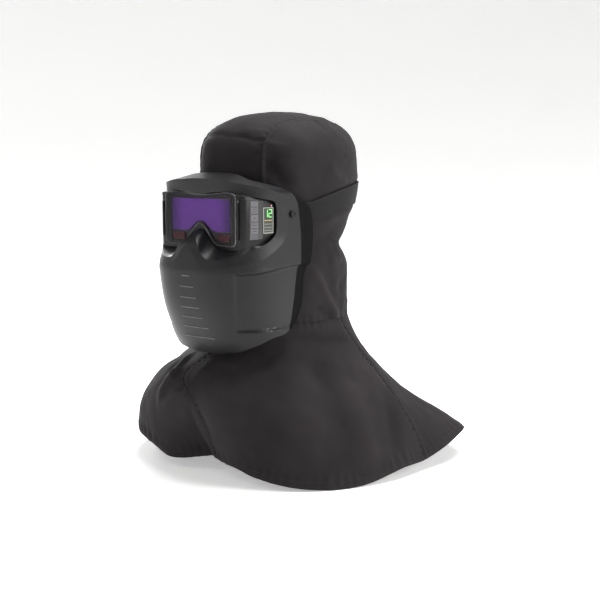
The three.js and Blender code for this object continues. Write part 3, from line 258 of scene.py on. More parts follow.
@dataclass(frozen=True)
class MouldedFinish:
    """Moulded plastic or rubber with the grain of its spark-eroded mould.

    Attributes:
        name: the material's name.
        dark: the plastic's colour.
        light: its colour where the grain is rubbed.
        grain: width of the grain in millimetres, drawn as coarse as the render can show.
        roughness: lowest and highest roughness over the grain.
        depth: depth of the grain in millimetres.
        coat: weight of a glossy skin.
        specular: strength of the surface reflection.
    """

    name: str
    dark: str
    light: str
    grain: float
    roughness: tuple[float, float]
    depth: float = 0.02
    coat: float = 0.0
    specular: float = 0.5

    def build(self) -> bpy.types.Material:
        """Returns the finished material."""
        sockets = {
            "IOR": 1.52,
            "Coat Weight": self.coat,
            "Coat Roughness": 0.12,
            "Specular IOR Level": self.specular,
        }
        material, shader = surface(self.name, sockets)
        place = add_node(material, "ShaderNodeTexCoord").outputs["Object"]
        grain_inputs = {"Vector": place, "Scale": 1 / (self.grain * MM), "Detail": 3.0}
        grain = add_node(material, "ShaderNodeTexNoise", grain_inputs)
        handled = add_node(material, "ShaderNodeTexNoise", {"Vector": place, "Scale": 22.0, "Detail": 4.0})
        tones = {"Factor": handled.outputs["Fac"], "A": self.dark, "B": self.light}
        colour = add_node(material, "ShaderNodeMix", tones, data_type="RGBA")
        spread_inputs = {0: handled.outputs["Fac"], 1: 0.6, 2: 0.2}
        share = add_node(material, "ShaderNodeMath", spread_inputs, operation="MULTIPLY_ADD").outputs[0]
        low, high = self.roughness
        rough = add_node(material, "ShaderNodeMapRange", {"Value": share, "To Min": low, "To Max": high})
        bump_inputs = {"Height": grain.outputs["Fac"], "Strength": 0.5, "Distance": self.depth * MM}
        bump = add_node(material, "ShaderNodeBump", bump_inputs)
        links = {
            "Base Color": colour.outputs["Result"],
            "Roughness": rough.outputs["Result"],
            "Normal": bump.outputs["Normal"],
        }
        wire(shader, links)
        return material


@dataclass(frozen=True)
class LensFinish:
    """Clear polycarbonate: see-through, with a hard coat that mirrors the lamps."""

    name: str
    tint: str
    alpha: float

    def build(self) -> bpy.types.Material:
        """Returns the finished material."""
        sockets = {
            "Base Color": self.tint,
            "Roughness": 0.06,
            "IOR": 1.58,
            "Alpha": self.alpha,
            "Specular IOR Level": 0.4,
        }
        material, _ = surface(self.name, sockets)
        return material


@dataclass(frozen=True)
class FilterFinish:
    """Coated filter glass: its colour deepens towards its edges.

    Attributes:
        name: the material's name.
        centre: colour in the middle.
        edge: colour at the ends.
        half_width: distance from the middle plane to the ends, in millimetres.
    """

    name: str
    centre: str
    edge: str
    half_width: float

    def build(self) -> bpy.types.Material:
        """Returns the finished material."""
        sockets = {"Roughness": 0.3, "IOR": 1.52, "Specular IOR Level": 0.2}
        material, shader = surface(self.name, sockets)
        place = add_node(material, "ShaderNodeTexCoord").outputs["Object"]
        parts = add_node(material, "ShaderNodeSeparateXYZ", {"Vector": place})
        out = add_node(material, "ShaderNodeMath", {0: parts.outputs["X"]}, operation="ABSOLUTE")
        reach = self.half_width * MM
        ends = {"Value": out.outputs[0], "From Min": 0.55 * reach, "From Max": reach}
        share = add_node(material, "ShaderNodeMapRange", ends, interpolation_type="SMOOTHSTEP")
        tones = {"Factor": share.outputs["Result"], "A": self.centre, "B": self.edge}
        colour = add_node(material, "ShaderNodeMix", tones, data_type="RGBA")
        wire(shader, {"Base Color": colour.outputs["Result"]})
        return material


@dataclass(frozen=True)
class GlowFinish:
    """A lit segment or lamp: a coloured plastic that gives off its own light."""

    name: str
    colour: str
    strength: float

    def build(self) -> bpy.types.Material:
        """Returns the finished material."""
        sockets = {
            "Base Color": self.colour,
            "Roughness": 0.35,
            "Emission Color": self.colour,
            "Emission Strength": self.strength,
        }
        material, _ = surface(self.name, sockets)
        return material


@dataclass(frozen=True)
class SolarFinish:
    """A thin-film solar cell: fine conductor lines across dark red silicon, under a glossy film."""

    name: str
    dark: str
    light: str
    pitch: float

    def build(self) -> bpy.types.Material:
        """Returns the finished material."""
        sockets = {"Roughness": 0.35, "IOR": 1.5, "Specular IOR Level": 0.2}
        material, shader = surface(self.name, sockets)
        place = add_node(material, "ShaderNodeTexCoord").outputs["Object"]
        lines_inputs = {"Vector": place, "Scale": 2 * math.pi / (20 * self.pitch * MM)}
        lines = add_node(material, "ShaderNodeTexWave", lines_inputs, bands_direction="X")
        ends = {"Value": lines.outputs["Fac"], "From Min": 0.8, "From Max": 0.95}
        sharp = add_node(material, "ShaderNodeMapRange", ends)
        tones = {"Factor": sharp.outputs["Result"], "A": self.dark, "B": self.light}
        colour = add_node(material, "ShaderNodeMix", tones, data_type="RGBA")
        wire(shader, {"Base Color": colour.outputs["Result"]})
        return material


class Finishes:
    """Every finish of the mask and the hood, each built once."""

    def __init__(self) -> None:
        """Builds the materials."""
        # Flame-retardant cotton sateen, piece dyed: a smooth face that still shows a soft nap.
        # Its ribs are 0.5 mm apart on the real cloth and drawn coarser, so that they show.
        # Its hollow colour is painted shade in the folds; its ridge colour is the rubbed nap.
        self.cotton = ClothFinish(
            "cotton_sateen_charcoal", "#120f11", "#2a2628", 1.3, 0.8, 0.04
        ).build()
        # Spun polyester thread, a shade lighter than the cloth that it holds.
        self.thread = MouldedFinish(
            "polyester_thread_charcoal", "#1c191a", "#2b2728", 0.6, (0.65, 0.8), specular=0.25
        ).build()
        # Glass-filled nylon from a spark-eroded mould: satin, with highlights on its edges.
        self.nylon = MouldedFinish(
            "glass_filled_nylon_grey", "#121213", "#1a1a1b", 0.9, (0.3, 0.4), depth=0.05, specular=0.24
        ).build()
        # ABS housing, finer grain and near black.
        self.abs = MouldedFinish(
            "abs_housing_black", "#0c0c0d", "#131314", 0.7, (0.3, 0.42), specular=0.22
        ).build()
        # Thermoplastic elastomer: soft touch, no gloss.
        self.elastomer = MouldedFinish(
            "thermoplastic_elastomer_black", "#080808", "#0e0e0e", 0.8, (0.66, 0.82), specular=0.1
        ).build()
        # Polyester webbing with plain ribs across it.
        # Its hollow colour, too, is painted shade.
        self.webbing = ClothFinish("polyester_webbing_black", "#0e0d0e", "#1a1819", 1.6, 0.7, 0.04).build()
        # Clear polycarbonate with a hard coat.
        self.polycarbonate = LensFinish("clear_polycarbonate", "#0c0a10", 0.1).build()
        # Auto-darkening filter behind an ultraviolet and infrared coating that looks purple.
        self.filter = FilterFinish("coated_filter_glass_purple", "#5f2f8c", "#3a1a5c", 52.0).build()
        self.solar = SolarFinish("thin_film_solar_cell_red", "#3c161c", "#5e2c34", 2.4).build()
        # Silicone keys, moulded in one mat.
        self.silicone = MouldedFinish("silicone_keys_grey", "#4b494d", "#5f5c61", 0.5, (0.45, 0.6)).build()
        # The key mat's glossier base, and the ridges on the panel, where its light grey is a painted
        # highlight.
        self.mat = MouldedFinish("silicone_mat_grey", "#353438", "#46444a", 0.6, (0.25, 0.4)).build()
        # Nylon painted light grey for the chin's ribs: a painted highlight along each rib.
        self.nylon_painted_highlight = MouldedFinish(
            "glass_filled_nylon_painted_highlight", "#4e4e4e", "#5e5e5e", 0.9, (0.32, 0.42)
        ).build()
        # The polycarbonate's cut edge pipes light; its pale colour is a painted highlight for that light.
        self.lens_edge_painted_highlight = LensFinish("clear_polycarbonate_edge_highlight", "#b9b6bd", 0.42).build()
        # Pad-printed ink: thin and matt. The black one also stands for the filter's black edge.
        self.print_black = MouldedFinish("pad_print_black", "#0f0f10", "#19191a", 0.5, (0.5, 0.6)).build()
        self.print_grey = MouldedFinish("pad_print_grey", "#8d9088", "#a6a9a0", 0.5, (0.45, 0.55)).build()
        # Acrylic window over the display: near black until a segment is lit, and glossy.
        self.display = MouldedFinish(
            "display_window", "#0d120e", "#141b15", 0.9, (0.1, 0.16), coat=1.0
        ).build()
        # Lit segments and the lamp: coloured plastic with its own weak light.
        self.segment = GlowFinish("display_segment_green", "#6fd768", 0.75).build()
        self.segment_amber = GlowFinish("display_segment_amber", "#c9b04e", 0.5).build()
        self.lamp = GlowFinish("status_lamp_pink", "#d98f98", 0.35).build()


def deselect_all() -> None:
    """Deselects every object, and leaves none active."""
    for thing in bpy.context.selected_objects:
        thing.select_set(False)
    bpy.context.view_layer.objects.active = None


def pick(thing: Piece) -> None:
    """Makes one object the only selected and the active one."""
    deselect_all()
    thing.select_set(True)
    bpy.context.view_layer.objects.active = thing


def apply_modifier(thing: Piece, kind: str, **settings) -> None:
    """Adds a modifier to an object and applies it at once."""
    pick(thing)
    modifier = thing.modifiers.new(kind.lower(), kind)
    for name, value in settings.items():
        setattr(modifier, name, value)
    bpy.ops.object.modifier_apply(modifier=modifier.name)


def in_edit(thing: Piece, *steps: Callable[[], object]) -> None:
    """Runs operators on an object in edit mode, with all of it selected."""
    pick(thing)
    bpy.ops.object.mode_set(mode="EDIT")
    bpy.ops.mesh.select_mode(type="FACE")
    bpy.ops.mesh.select_all(action="SELECT")
    for step in steps:
        step()
    bpy.ops.object.mode_set(mode="OBJECT")


def select_faces(thing: Piece, wanted: Callable[[bpy.types.MeshPolygon], bool]) -> None:
    """Leaves only the wanted faces of an object selected, for the next operator."""
    pick(thing)
    bpy.ops.object.mode_set(mode="EDIT")
    bpy.ops.mesh.select_mode(type="FACE")
    bpy.ops.mesh.select_all(action="DESELECT")
    bpy.ops.object.mode_set(mode="OBJECT")
    for face in thing.data.polygons:
        face.select = wanted(face)


def on_faces(
    thing: Piece,
    wanted: Callable[[bpy.types.MeshPolygon], bool],
    *steps: Callable[[], object],
) -> None:
    """Runs edit-mode operators on the wanted faces of an object."""
    select_faces(thing, wanted)
    bpy.ops.object.mode_set(mode="EDIT")
    for step in steps:
        step()
    bpy.ops.object.mode_set(mode="OBJECT")


def put(thing: Piece, matrix: Matrix) -> None:
    """Moves an object by a matrix in millimetres and applies its place to its mesh."""
    pick(thing)
    thing.matrix_world = Matrix.Scale(MM, 4) @ matrix @ Matrix.Scale(1 / MM, 4) @ thing.matrix_world
    bpy.ops.object.transform_apply(location=True, rotation=True, scale=True)


def round_edges(thing: Piece, width: float, segments: int = 3, angle: float = 0.6) -> None:
    """Bevels the edges sharper than an angle in radians by a width in millimetres."""
    sizes = {"width": width * MM, "segments": segments, "angle_limit": angle}
    apply_modifier(thing, "BEVEL", limit_method="ANGLE", **sizes)


def smooth(thing: Piece, degrees: float = 32.0) -> None:
    """Shades an object smooth up to an angle between faces."""
    pick(thing)
    bpy.ops.object.shade_smooth_by_angle(angle=math.radians(degrees))


def dress(
    thing: Piece,
    name: str,
    material: bpy.types.Material,
    nodes: Sequence[str] = (),
) -> Piece:
    """Names a finished piece, gives it its material, ties it to the body and hides the nodes that it stands
    for.

    Args:
        thing: the piece.
        name: its name.
        material: its finish.
        nodes: the nodes that it stands for.

    Returns:
        The piece.
    """
    thing.name = name
    thing.data.name = name
    thing.data.materials.clear()
    thing.data.materials.append(material)
    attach(thing, BODY)
    if nodes:
        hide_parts(*nodes)
    log.info("%s: %d faces", name, len(thing.data.polygons))
    return thing


def joined(things: Sequence[Piece]) -> Piece:
    """Joins objects into the first of them and returns it."""
    deselect_all()
    for thing in things:
        thing.select_set(True)
    bpy.context.view_layer.objects.active = things[0]
    bpy.ops.object.join()
    return bpy.context.view_layer.objects.active


class Edge(Enum):
    """The four edges of a cut sheet."""

    LEFT = "left"
    RIGHT = "right"
    TOP = "top"
    BOTTOM = "bottom"


OPEN_START, OPEN_END, OPEN_BOTH = (True, False), (False, True), (True, True)


@dataclass(frozen=True)
class Fold:
    """A fold along a few points near the cloth.

    Attributes:
        path: the points, in millimetres.
        width: half the fold's width.
        height: how far it rises, or sinks if it is less than zero.
        step: how much higher the cloth lies on one side of the path than on the other.
        over: the direction of that higher side.
        open_ends: whether the fold keeps its height at its two ends.
    """

    path: tuple[Point, ...]
    width: float
    height: float
    step: float = 0.0
    over: Point = (0.0, 0.0, 1.0)
    open_ends: tuple[bool, bool] = (False, False)

    def rise(self, points: np.ndarray) -> np.ndarray:
        """Returns how far the fold lifts each of the points, in millimetres."""
        path = np.array(self.path, float)
        lengths = np.linalg.norm(np.diff(path, axis=0), axis=1)
        starts = np.concatenate([[0.0], np.cumsum(lengths)])
        best = np.full(points.shape[:-1], 1e9)
        along = np.zeros(points.shape[:-1])
        nearest = np.zeros(points.shape)
        for i, length in enumerate(lengths):
            line = (path[i + 1] - path[i]) / length
            t = np.clip((points - path[i]) @ line, 0.0, length)
            spot = path[i] + t[..., None] * line
            far = np.linalg.norm(points - spot, axis=-1)
            closer = far < best
            best = np.where(closer, far, best)
            along = np.where(closer, starts[i] + t, along)
            nearest = np.where(closer[..., None], spot, nearest)
        share = along / starts[-1]
        fade_in = 1.0 if self.open_ends[0] else smoothstep(0.0, 0.3, share)
        fade_out = 1.0 if self.open_ends[1] else 1 - smoothstep(0.7, 1.0, share)
        fade = fade_in * fade_out
        lift = self.height * np.exp(-((best / self.width) ** 2)) * fade
        if self.step:
            over = np.array(self.over) / np.linalg.norm(self.over)
            side = np.sign((points - nearest) @ over)
            far = side * best
            sharp = np.tanh(far / (0.12 * self.width)) * np.exp(-((best / (1.2 * self.width)) ** 2))
            lift = lift + 0.5 * self.step * sharp * fade
        return lift


def plan_angle(points: np.ndarray) -> np.ndarray:
    """Returns the points' plan angles from the front, in radians."""
    return np.arctan2(points[..., 0], -points[..., 1])


def row_lengths(points: np.ndarray, axis: int) -> np.ndarray:
    """Returns each point's distance from the first one along an axis of a grid."""
    steps = np.linalg.norm(np.diff(points, axis=axis), axis=-1)
    shape = list(steps.shape)
    shape[axis] = 1
    return np.concatenate([np.zeros(shape), np.cumsum(steps, axis=axis)], axis=axis)


def wobble(distance: np.ndarray, pitch: float, seed: float) -> np.ndarray:
    """Returns an uneven wave from -1 to 1 along a distance, with peaks about a pitch apart."""
    phase = distance / pitch
    drift = 0.9 * np.sin(0.61 * phase + seed) + 0.7 * np.sin(1.43 * phase + 2.3 * seed)
    size = 0.62 + 0.38 * np.sin(0.83 * phase + 1.7 * seed)
    return np.sin(2 * math.pi * phase + drift) * size


class Sheet:
    """A sheet as rows and columns of points, which is folded before it becomes a mesh."""

    def __init__(self, points: np.ndarray, inside: Point) -> None:
        """Takes the sheet's outer points.

        Args:
            points: rows and columns of points, in millimetres.
            inside: a point on the sheet's inner side.
        """
        self.points = points
        self.lift = np.zeros(points.shape[:2])
        self.measured: dict[Edge, tuple[np.ndarray, np.ndarray]] = {}
        normals = self.raw_normals()
        toward = float((normals * (points - np.array(inside))).sum())
        self.sign = 1.0 if toward > 0 else -1.0
        self.normals = normals * self.sign

    def raw_normals(self) -> np.ndarray:
        """Returns the sheet's normals, averaged over their neighbours by area."""
        across = np.gradient(self.points, axis=1)
        down = np.gradient(self.points, axis=0)
        normals = np.cross(across, down)
        for axis in (0, 1, 0, 1):
            count = normals.shape[axis]
            ends = normals.take([0], axis), normals, normals.take([-1], axis)
            wide = np.concatenate(ends, axis)
            normals = sum(wide.take(range(k, count + k), axis) for k in range(3)) / 3
        return normals / np.maximum(np.linalg.norm(normals, axis=-1, keepdims=True), 1e-12)

    def measure(self, edge: Edge) -> tuple[np.ndarray, np.ndarray]:
        """Returns each point's distance from an edge and how far along the edge it lies."""
        if edge not in self.measured:
            rims = {
                Edge.LEFT: self.points[:, 0],
                Edge.RIGHT: self.points[:, -1],
                Edge.TOP: self.points[0],
                Edge.BOTTOM: self.points[-1],
            }
            lengths = row_lengths(rims[edge], 0)
            fine = np.linspace(0, lengths[-1], 4 * len(lengths))
            rim = np.stack([np.interp(fine, lengths, rims[edge][:, k]) for k in range(3)], axis=1)
            tree = KDTree(len(rim))
            for i, point in enumerate(rim):
                tree.insert(point, i)
            tree.balance()
            found = np.array([tree.find(point)[1:] for point in self.points.reshape(-1, 3)])
            shape = self.points.shape[:2]
            self.measured[edge] = found[:, 1].reshape(shape), fine[found[:, 0].astype(int)].reshape(shape)
        return self.measured[edge]

    def inset(self, edge: Edge) -> np.ndarray:
        """Returns each point's distance from an edge."""
        return self.measure(edge)[0]

    def along(self, edge: Edge) -> np.ndarray:
        """Returns how far along an edge each point lies."""
        return self.measure(edge)[1]

    def hold(self, reach: float, *edges: Edge) -> None:
        """Fades what lifts the sheet towards the edges where seams hold it."""
        for edge in edges:
            self.lift *= smoothstep(0.0, reach, self.inset(edge))

    def fold(self, folds: Sequence[Fold]) -> None:
        """Lifts the sheet by a number of folds."""
        for one in folds:
            self.lift += one.rise(self.points)

    def pucker(
        self, edge: Edge, pitch: float, depth: float, reach: float, seed: float, at: float = 0.0
    ) -> None:
        """Gathers the cloth beside a line of stitches.

        Args:
            edge: the edge that the stitches run along.
            pitch: distance between two puckers.
            depth: their height.
            reach: how far they reach from the stitches.
            seed: starts their uneven run.
            at: distance from the edge to the stitches.
        """
        near = np.exp(-(((self.inset(edge) - at) / reach) ** 2))
        self.lift += depth * wobble(self.along(edge), pitch, seed) * near

    def welt(self, edge: Edge, width: float, height: float, soft: float = 1.5) -> None:
        """Raises a band along an edge, or sinks it if the height is less than zero."""
        self.lift += height * (1 - smoothstep(width - soft, width + soft, self.inset(edge)))

    def stitch_dip(self, edge: Edge, at: float, depth: float) -> None:
        """Sinks the line where stitches pull the cloth down."""
        self.lift -= depth * np.exp(-(((self.inset(edge) - at) / 1.6) ** 2))

    def crumple(
        self, wavelength: float, depth: float, seed: float, stretch: Point = (1.0, 1.0, 1.0)
    ) -> None:
        """Adds soft unevenness.

        Args:
            wavelength: distance between two bumps.
            depth: their height.
            seed: moves the pattern.
            stretch: how much longer the bumps are along each axis.
        """
        scale = np.array(stretch) * wavelength
        for r, row in enumerate(self.points):
            for c, point in enumerate(row):
                place = Vector(point / scale) + Vector((seed, 2 * seed, -seed))
                self.lift[r, c] += depth * noise.noise(place)

    def lifted(self) -> np.ndarray:
        """Returns the points after the folds."""
        return self.points + self.normals * self.lift[..., None]

    def line(self, edge: Edge, at: float, above: float) -> np.ndarray:
        """Returns points that run along an edge at a distance from it, a little above the cloth."""
        inset = self.inset(edge)
        places = self.lifted() + self.normals * above
        if edge in (Edge.TOP, Edge.BOTTOM):
            inset, places = inset.T, places.transpose(1, 0, 2)
        found = []
        for distances, run in zip(inset, places):
            order = np.argsort(distances)
            found.append([np.interp(at, distances[order], run[order, k]) for k in range(3)])
        return np.array(found)

    def area(self) -> float:
        """Returns the sheet's area in square metres."""
        p = self.points
        across, down = p[:-1, 1:] - p[:-1, :-1], p[1:, :-1] - p[:-1, :-1]
        far_across, far_down = p[1:, :-1] - p[1:, 1:], p[:-1, 1:] - p[1:, 1:]
        near = np.linalg.norm(np.cross(across, down), axis=-1).sum()
        far = np.linalg.norm(np.cross(far_across, far_down), axis=-1).sum()
        return float(near + far) / 2 * MM * MM

    def flat_size(self) -> tuple[float, float]:
        """Returns the width and length of the cut, in metres."""
        width = float(row_lengths(self.points, 1)[:, -1].max())
        length = float(row_lengths(self.points, 0)[-1].max())
        return width * MM, length * MM

    def build(self, name: str, thickness: float, closed: bool = False) -> Piece:
        """Makes the sheet a solid mesh with its cut's UV in metres and the rise of its folds.

        Args:
            name: the mesh's name while it is made.
            thickness: of the wall, which grows inwards.
            closed: whether the last column lies on the first.

        Returns:
            The new object.
        """
        rows, columns = self.points.shape[0] - 1, self.points.shape[1] - 1
        deselect_all()
        bpy.ops.mesh.primitive_grid_add(x_subdivisions=columns, y_subdivisions=rows, size=2)
        thing = bpy.context.active_object
        thing.name = name
        mesh = thing.data
        flat = np.zeros(len(mesh.vertices) * 3)
        mesh.vertices.foreach_get("co", flat)
        flat = flat.reshape(-1, 3)
        c = np.rint((flat[:, 0] + 1) / 2 * columns).astype(int)
        r = np.rint((1 - flat[:, 1]) / 2 * rows).astype(int)
        mesh.vertices.foreach_set("co", (self.lifted()[r, c] * MM).ravel())
        across = row_lengths(self.points, 1)
        across = across - across[:, columns // 2][:, None]
        down = row_lengths(self.points, 0)[:, columns // 2][:, None] + 0 * across
        corner = np.zeros(len(mesh.loops), int)
        mesh.loops.foreach_get("vertex_index", corner)
        uv = np.stack([across[r, c], -down[r, c]], axis=1)[corner] * MM
        mesh.uv_layers[0].name = "UVMap"
        mesh.uv_layers[0].data.foreach_set("uv", uv.ravel())
        # The cloth's material reads this rise to darken the hollows as painted shade and to lighten the
        # ridges for rubbed nap.
        rise = mesh.attributes.new("rise", "FLOAT", "POINT")
        rise.data.foreach_set("value", np.clip(self.lift[r, c] / 5.0, -1, 1))
        if self.sign > 0:
            in_edit(thing, bpy.ops.mesh.flip_normals)
        if closed:
            in_edit(thing, lambda: bpy.ops.mesh.remove_doubles(threshold=0.01 * MM))
        apply_modifier(thing, "SOLIDIFY", thickness=thickness * MM, offset=-1.0, use_even_offset=False)
        smooth(thing, 60.0)
        return thing


def tube(name: str, path: np.ndarray, radius: float, sides: int = 8) -> Piece:
    """Makes a round bead along a path of points in millimetres, with closed ends."""
    deselect_all()
    bpy.ops.mesh.primitive_cylinder_add(vertices=sides, end_fill_type="NOTHING")
    thing = bpy.context.active_object
    thing.name = name
    steps = len(path) - 1
    rings = np.linspace(0, 2 * math.pi, sides, endpoint=False)
    tangents = np.gradient(path, axis=0)
    tangents /= np.linalg.norm(tangents, axis=1, keepdims=True)
    normal = np.cross(tangents[0], (0.31, 0.74, 0.6))
    vertices = []
    for point, tangent in zip(path, tangents):
        normal = normal - tangent * (normal @ tangent)
        normal = normal / np.linalg.norm(normal)
        other = np.cross(tangent, normal)
        for angle in rings:
            vertices.append((point + radius * (math.cos(angle) * normal + math.sin(angle) * other)) * MM)
    faces = []
    for i in range(steps):
        for k in range(sides):
            after = (k + 1) % sides
            faces.append((i * sides + k, i * sides + after, (i + 1) * sides + after, (i + 1) * sides + k))
    faces.append(tuple(reversed(range(sides))))
    faces.append(tuple(steps * sides + k for k in range(sides)))
    mesh = thing.data
    mesh.clear_geometry()
    mesh.from_pydata(vertices, [], faces)
    mesh.update()
    smooth(thing, 50.0)
    return thing


def stitches(
    name: str, path: np.ndarray, pitch: float = 3.2, length: float = 2.1, radius: float = 0.32
) -> Piece:
    """Makes a run of sewn stitches along a path: one stitch is modelled and the rest are copies.

    Args:
        name: the object's name.
        path: the points that the run follows, in millimetres.
        pitch: distance between two stitches.
        length: of one stitch.
        radius: of the thread.

    Returns:
        One object with all the stitches.
    """
    deselect_all()
    bpy.ops.mesh.primitive_uv_sphere_add(segments=6, ring_count=4, radius=1.0)
    thing = bpy.context.active_object
    thing.name = name
    one = np.array([vertex.co[:] for vertex in thing.data.vertices])
    shapes = [tuple(face.vertices) for face in thing.data.polygons]
    starts = row_lengths(path, 0)
    total = float(starts[-1])
    places = np.arange(pitch / 2, total, pitch)
    vertices, faces = [], []
    for place in places:
        ends = [
            np.array([np.interp(place + half, starts, path[:, k]) for k in range(3)])
            for half in (-length / 2, length / 2)
        ]
        middle, run = (ends[0] + ends[1]) / 2, ends[1] - ends[0]
        run = run / max(np.linalg.norm(run), 1e-9)
        side = np.cross(run, (0.2, 0.3, 0.93))
        side = side / max(np.linalg.norm(side), 1e-9)
        up = np.cross(side, run)
        start = len(vertices)
        for x, y, z in one:
            local = run * (z * length / 2) + side * (x * radius) + up * (y * radius)
            vertices.append((middle + local) * MM)
        faces.extend(tuple(start + i for i in shape) for shape in shapes)
    mesh = thing.data
    mesh.clear_geometry()
    mesh.from_pydata(vertices, [], faces)
    mesh.update()
    smooth(thing, 80.0)
    return thing


@dataclass
class HeadForm:
    """The surface that the hood takes round the head, in millimetres.

    Attributes:
        lift: top of the cloth above the origin.
        height: from the widest level up to the top.
        half_width: of the head in its hood.
        front: reach of the forehead from the head's axis.
        back: reach of the back of the head.
        neck_drop: neck seam below the origin.
        squareness: of the plan.
        crown_squareness: of the crown seen from the side.
    """

    lift: float = 1.8
    height: float = 66.0
    half_width: float = 93.0
    front: float = 113.0
    back: float = 118.0
    neck_drop: float = 273.0
    squareness: float = 2.2
    crown_squareness: float = 2.5
    sections: Table = field(
        default_factory=lambda: Table(
            "drop side front back",
            [
                (0.0, 1.0, 1.0, 1.0),
                (0.14, 1.0, 1.0, 1.0),
                (0.27, 0.97, 0.97, 0.95),
                (0.41, 0.92, 0.92, 0.83),
                (0.53, 0.885, 0.88, 0.73),
                (0.67, 0.92, 0.87, 0.81),
                (0.82, 0.93, 0.86, 0.82),
                (1.0, 0.95, 0.86, 0.81),
            ],
        )
    )

    @property
    def widest(self) -> float:
        """Height of the widest level."""
        return self.lift - self.height

    def reach(self, z: Values) -> tuple[np.ndarray, np.ndarray, np.ndarray]:
        """Returns how far the section at a height reaches to the side, the front and the back."""
        drop = np.clip((self.widest - z) / (self.widest + self.neck_drop), 0, 1)
        side = self.half_width * self.sections.read("side", drop)
        front = self.front * self.sections.read("front", drop)
        return side, front, self.back * self.sections.read("back", drop)

    def gauge(self, x: np.ndarray, y: np.ndarray, z: np.ndarray) -> np.ndarray:
        """Returns 1 on the surface, less inside it and more outside."""
        side, front, back = self.reach(z)
        depth = np.abs(y) / np.where(y < 0, front, back)
        rise = np.maximum(z - self.widest, 0) / self.height
        square = self.crown_squareness
        profile = power(power(depth, square) + power(rise, square), 1 / square)
        width = power(np.abs(x) / side, self.squareness)
        return power(width + power(profile, self.squareness), 1 / self.squareness)

    def crown(self, x: np.ndarray, y: np.ndarray, z: np.ndarray) -> np.ndarray:
        """Returns points of the crown in directions from the middle of its base."""
        gauge = self.gauge(x, y, self.widest + z)
        return points_of(x / gauge, y / gauge, self.widest + z / gauge)

    def section(self, angle: Values, z: Values) -> np.ndarray:
        """Returns points of the section at a height, at plan angles from the front."""
        gauge = self.gauge(np.sin(angle), -np.cos(angle), np.minimum(z, self.widest))
        return points_of(np.sin(angle) / gauge, -np.cos(angle) / gauge, z)

    def across(self, x: np.ndarray, z: np.ndarray, behind: bool) -> np.ndarray:
        """Returns points of the section at a height that lie x from the middle plane."""
        side, front, back = self.reach(z)
        depth = power(1 - power(np.abs(x) / side, self.squareness), 1 / self.squareness)
        return points_of(x, back * depth if behind else -front * depth, z)


@dataclass
class HoodCut:
    """Sizes of the hood's panels, in millimetres.

    Attributes:
        cloth: thickness of the cloth.
        brow_drop: top of the face opening below the origin.
        half_width: of the centre panel over the crown.
        neck_half_width: of the centre panel at the neck seam.
        seam: half the slit between two panels.
        felled: width of the felled seam beside the centre panel.
        centre_run: distance from the centre panel's edges to their stitches.
    """

    cloth: float = 1.3
    brow_drop: float = 93.0
    half_width: float = 54.0
    neck_half_width: float = 34.0
    seam: float = 0.12
    felled: float = 5.0
    centre_run: float = 3.2


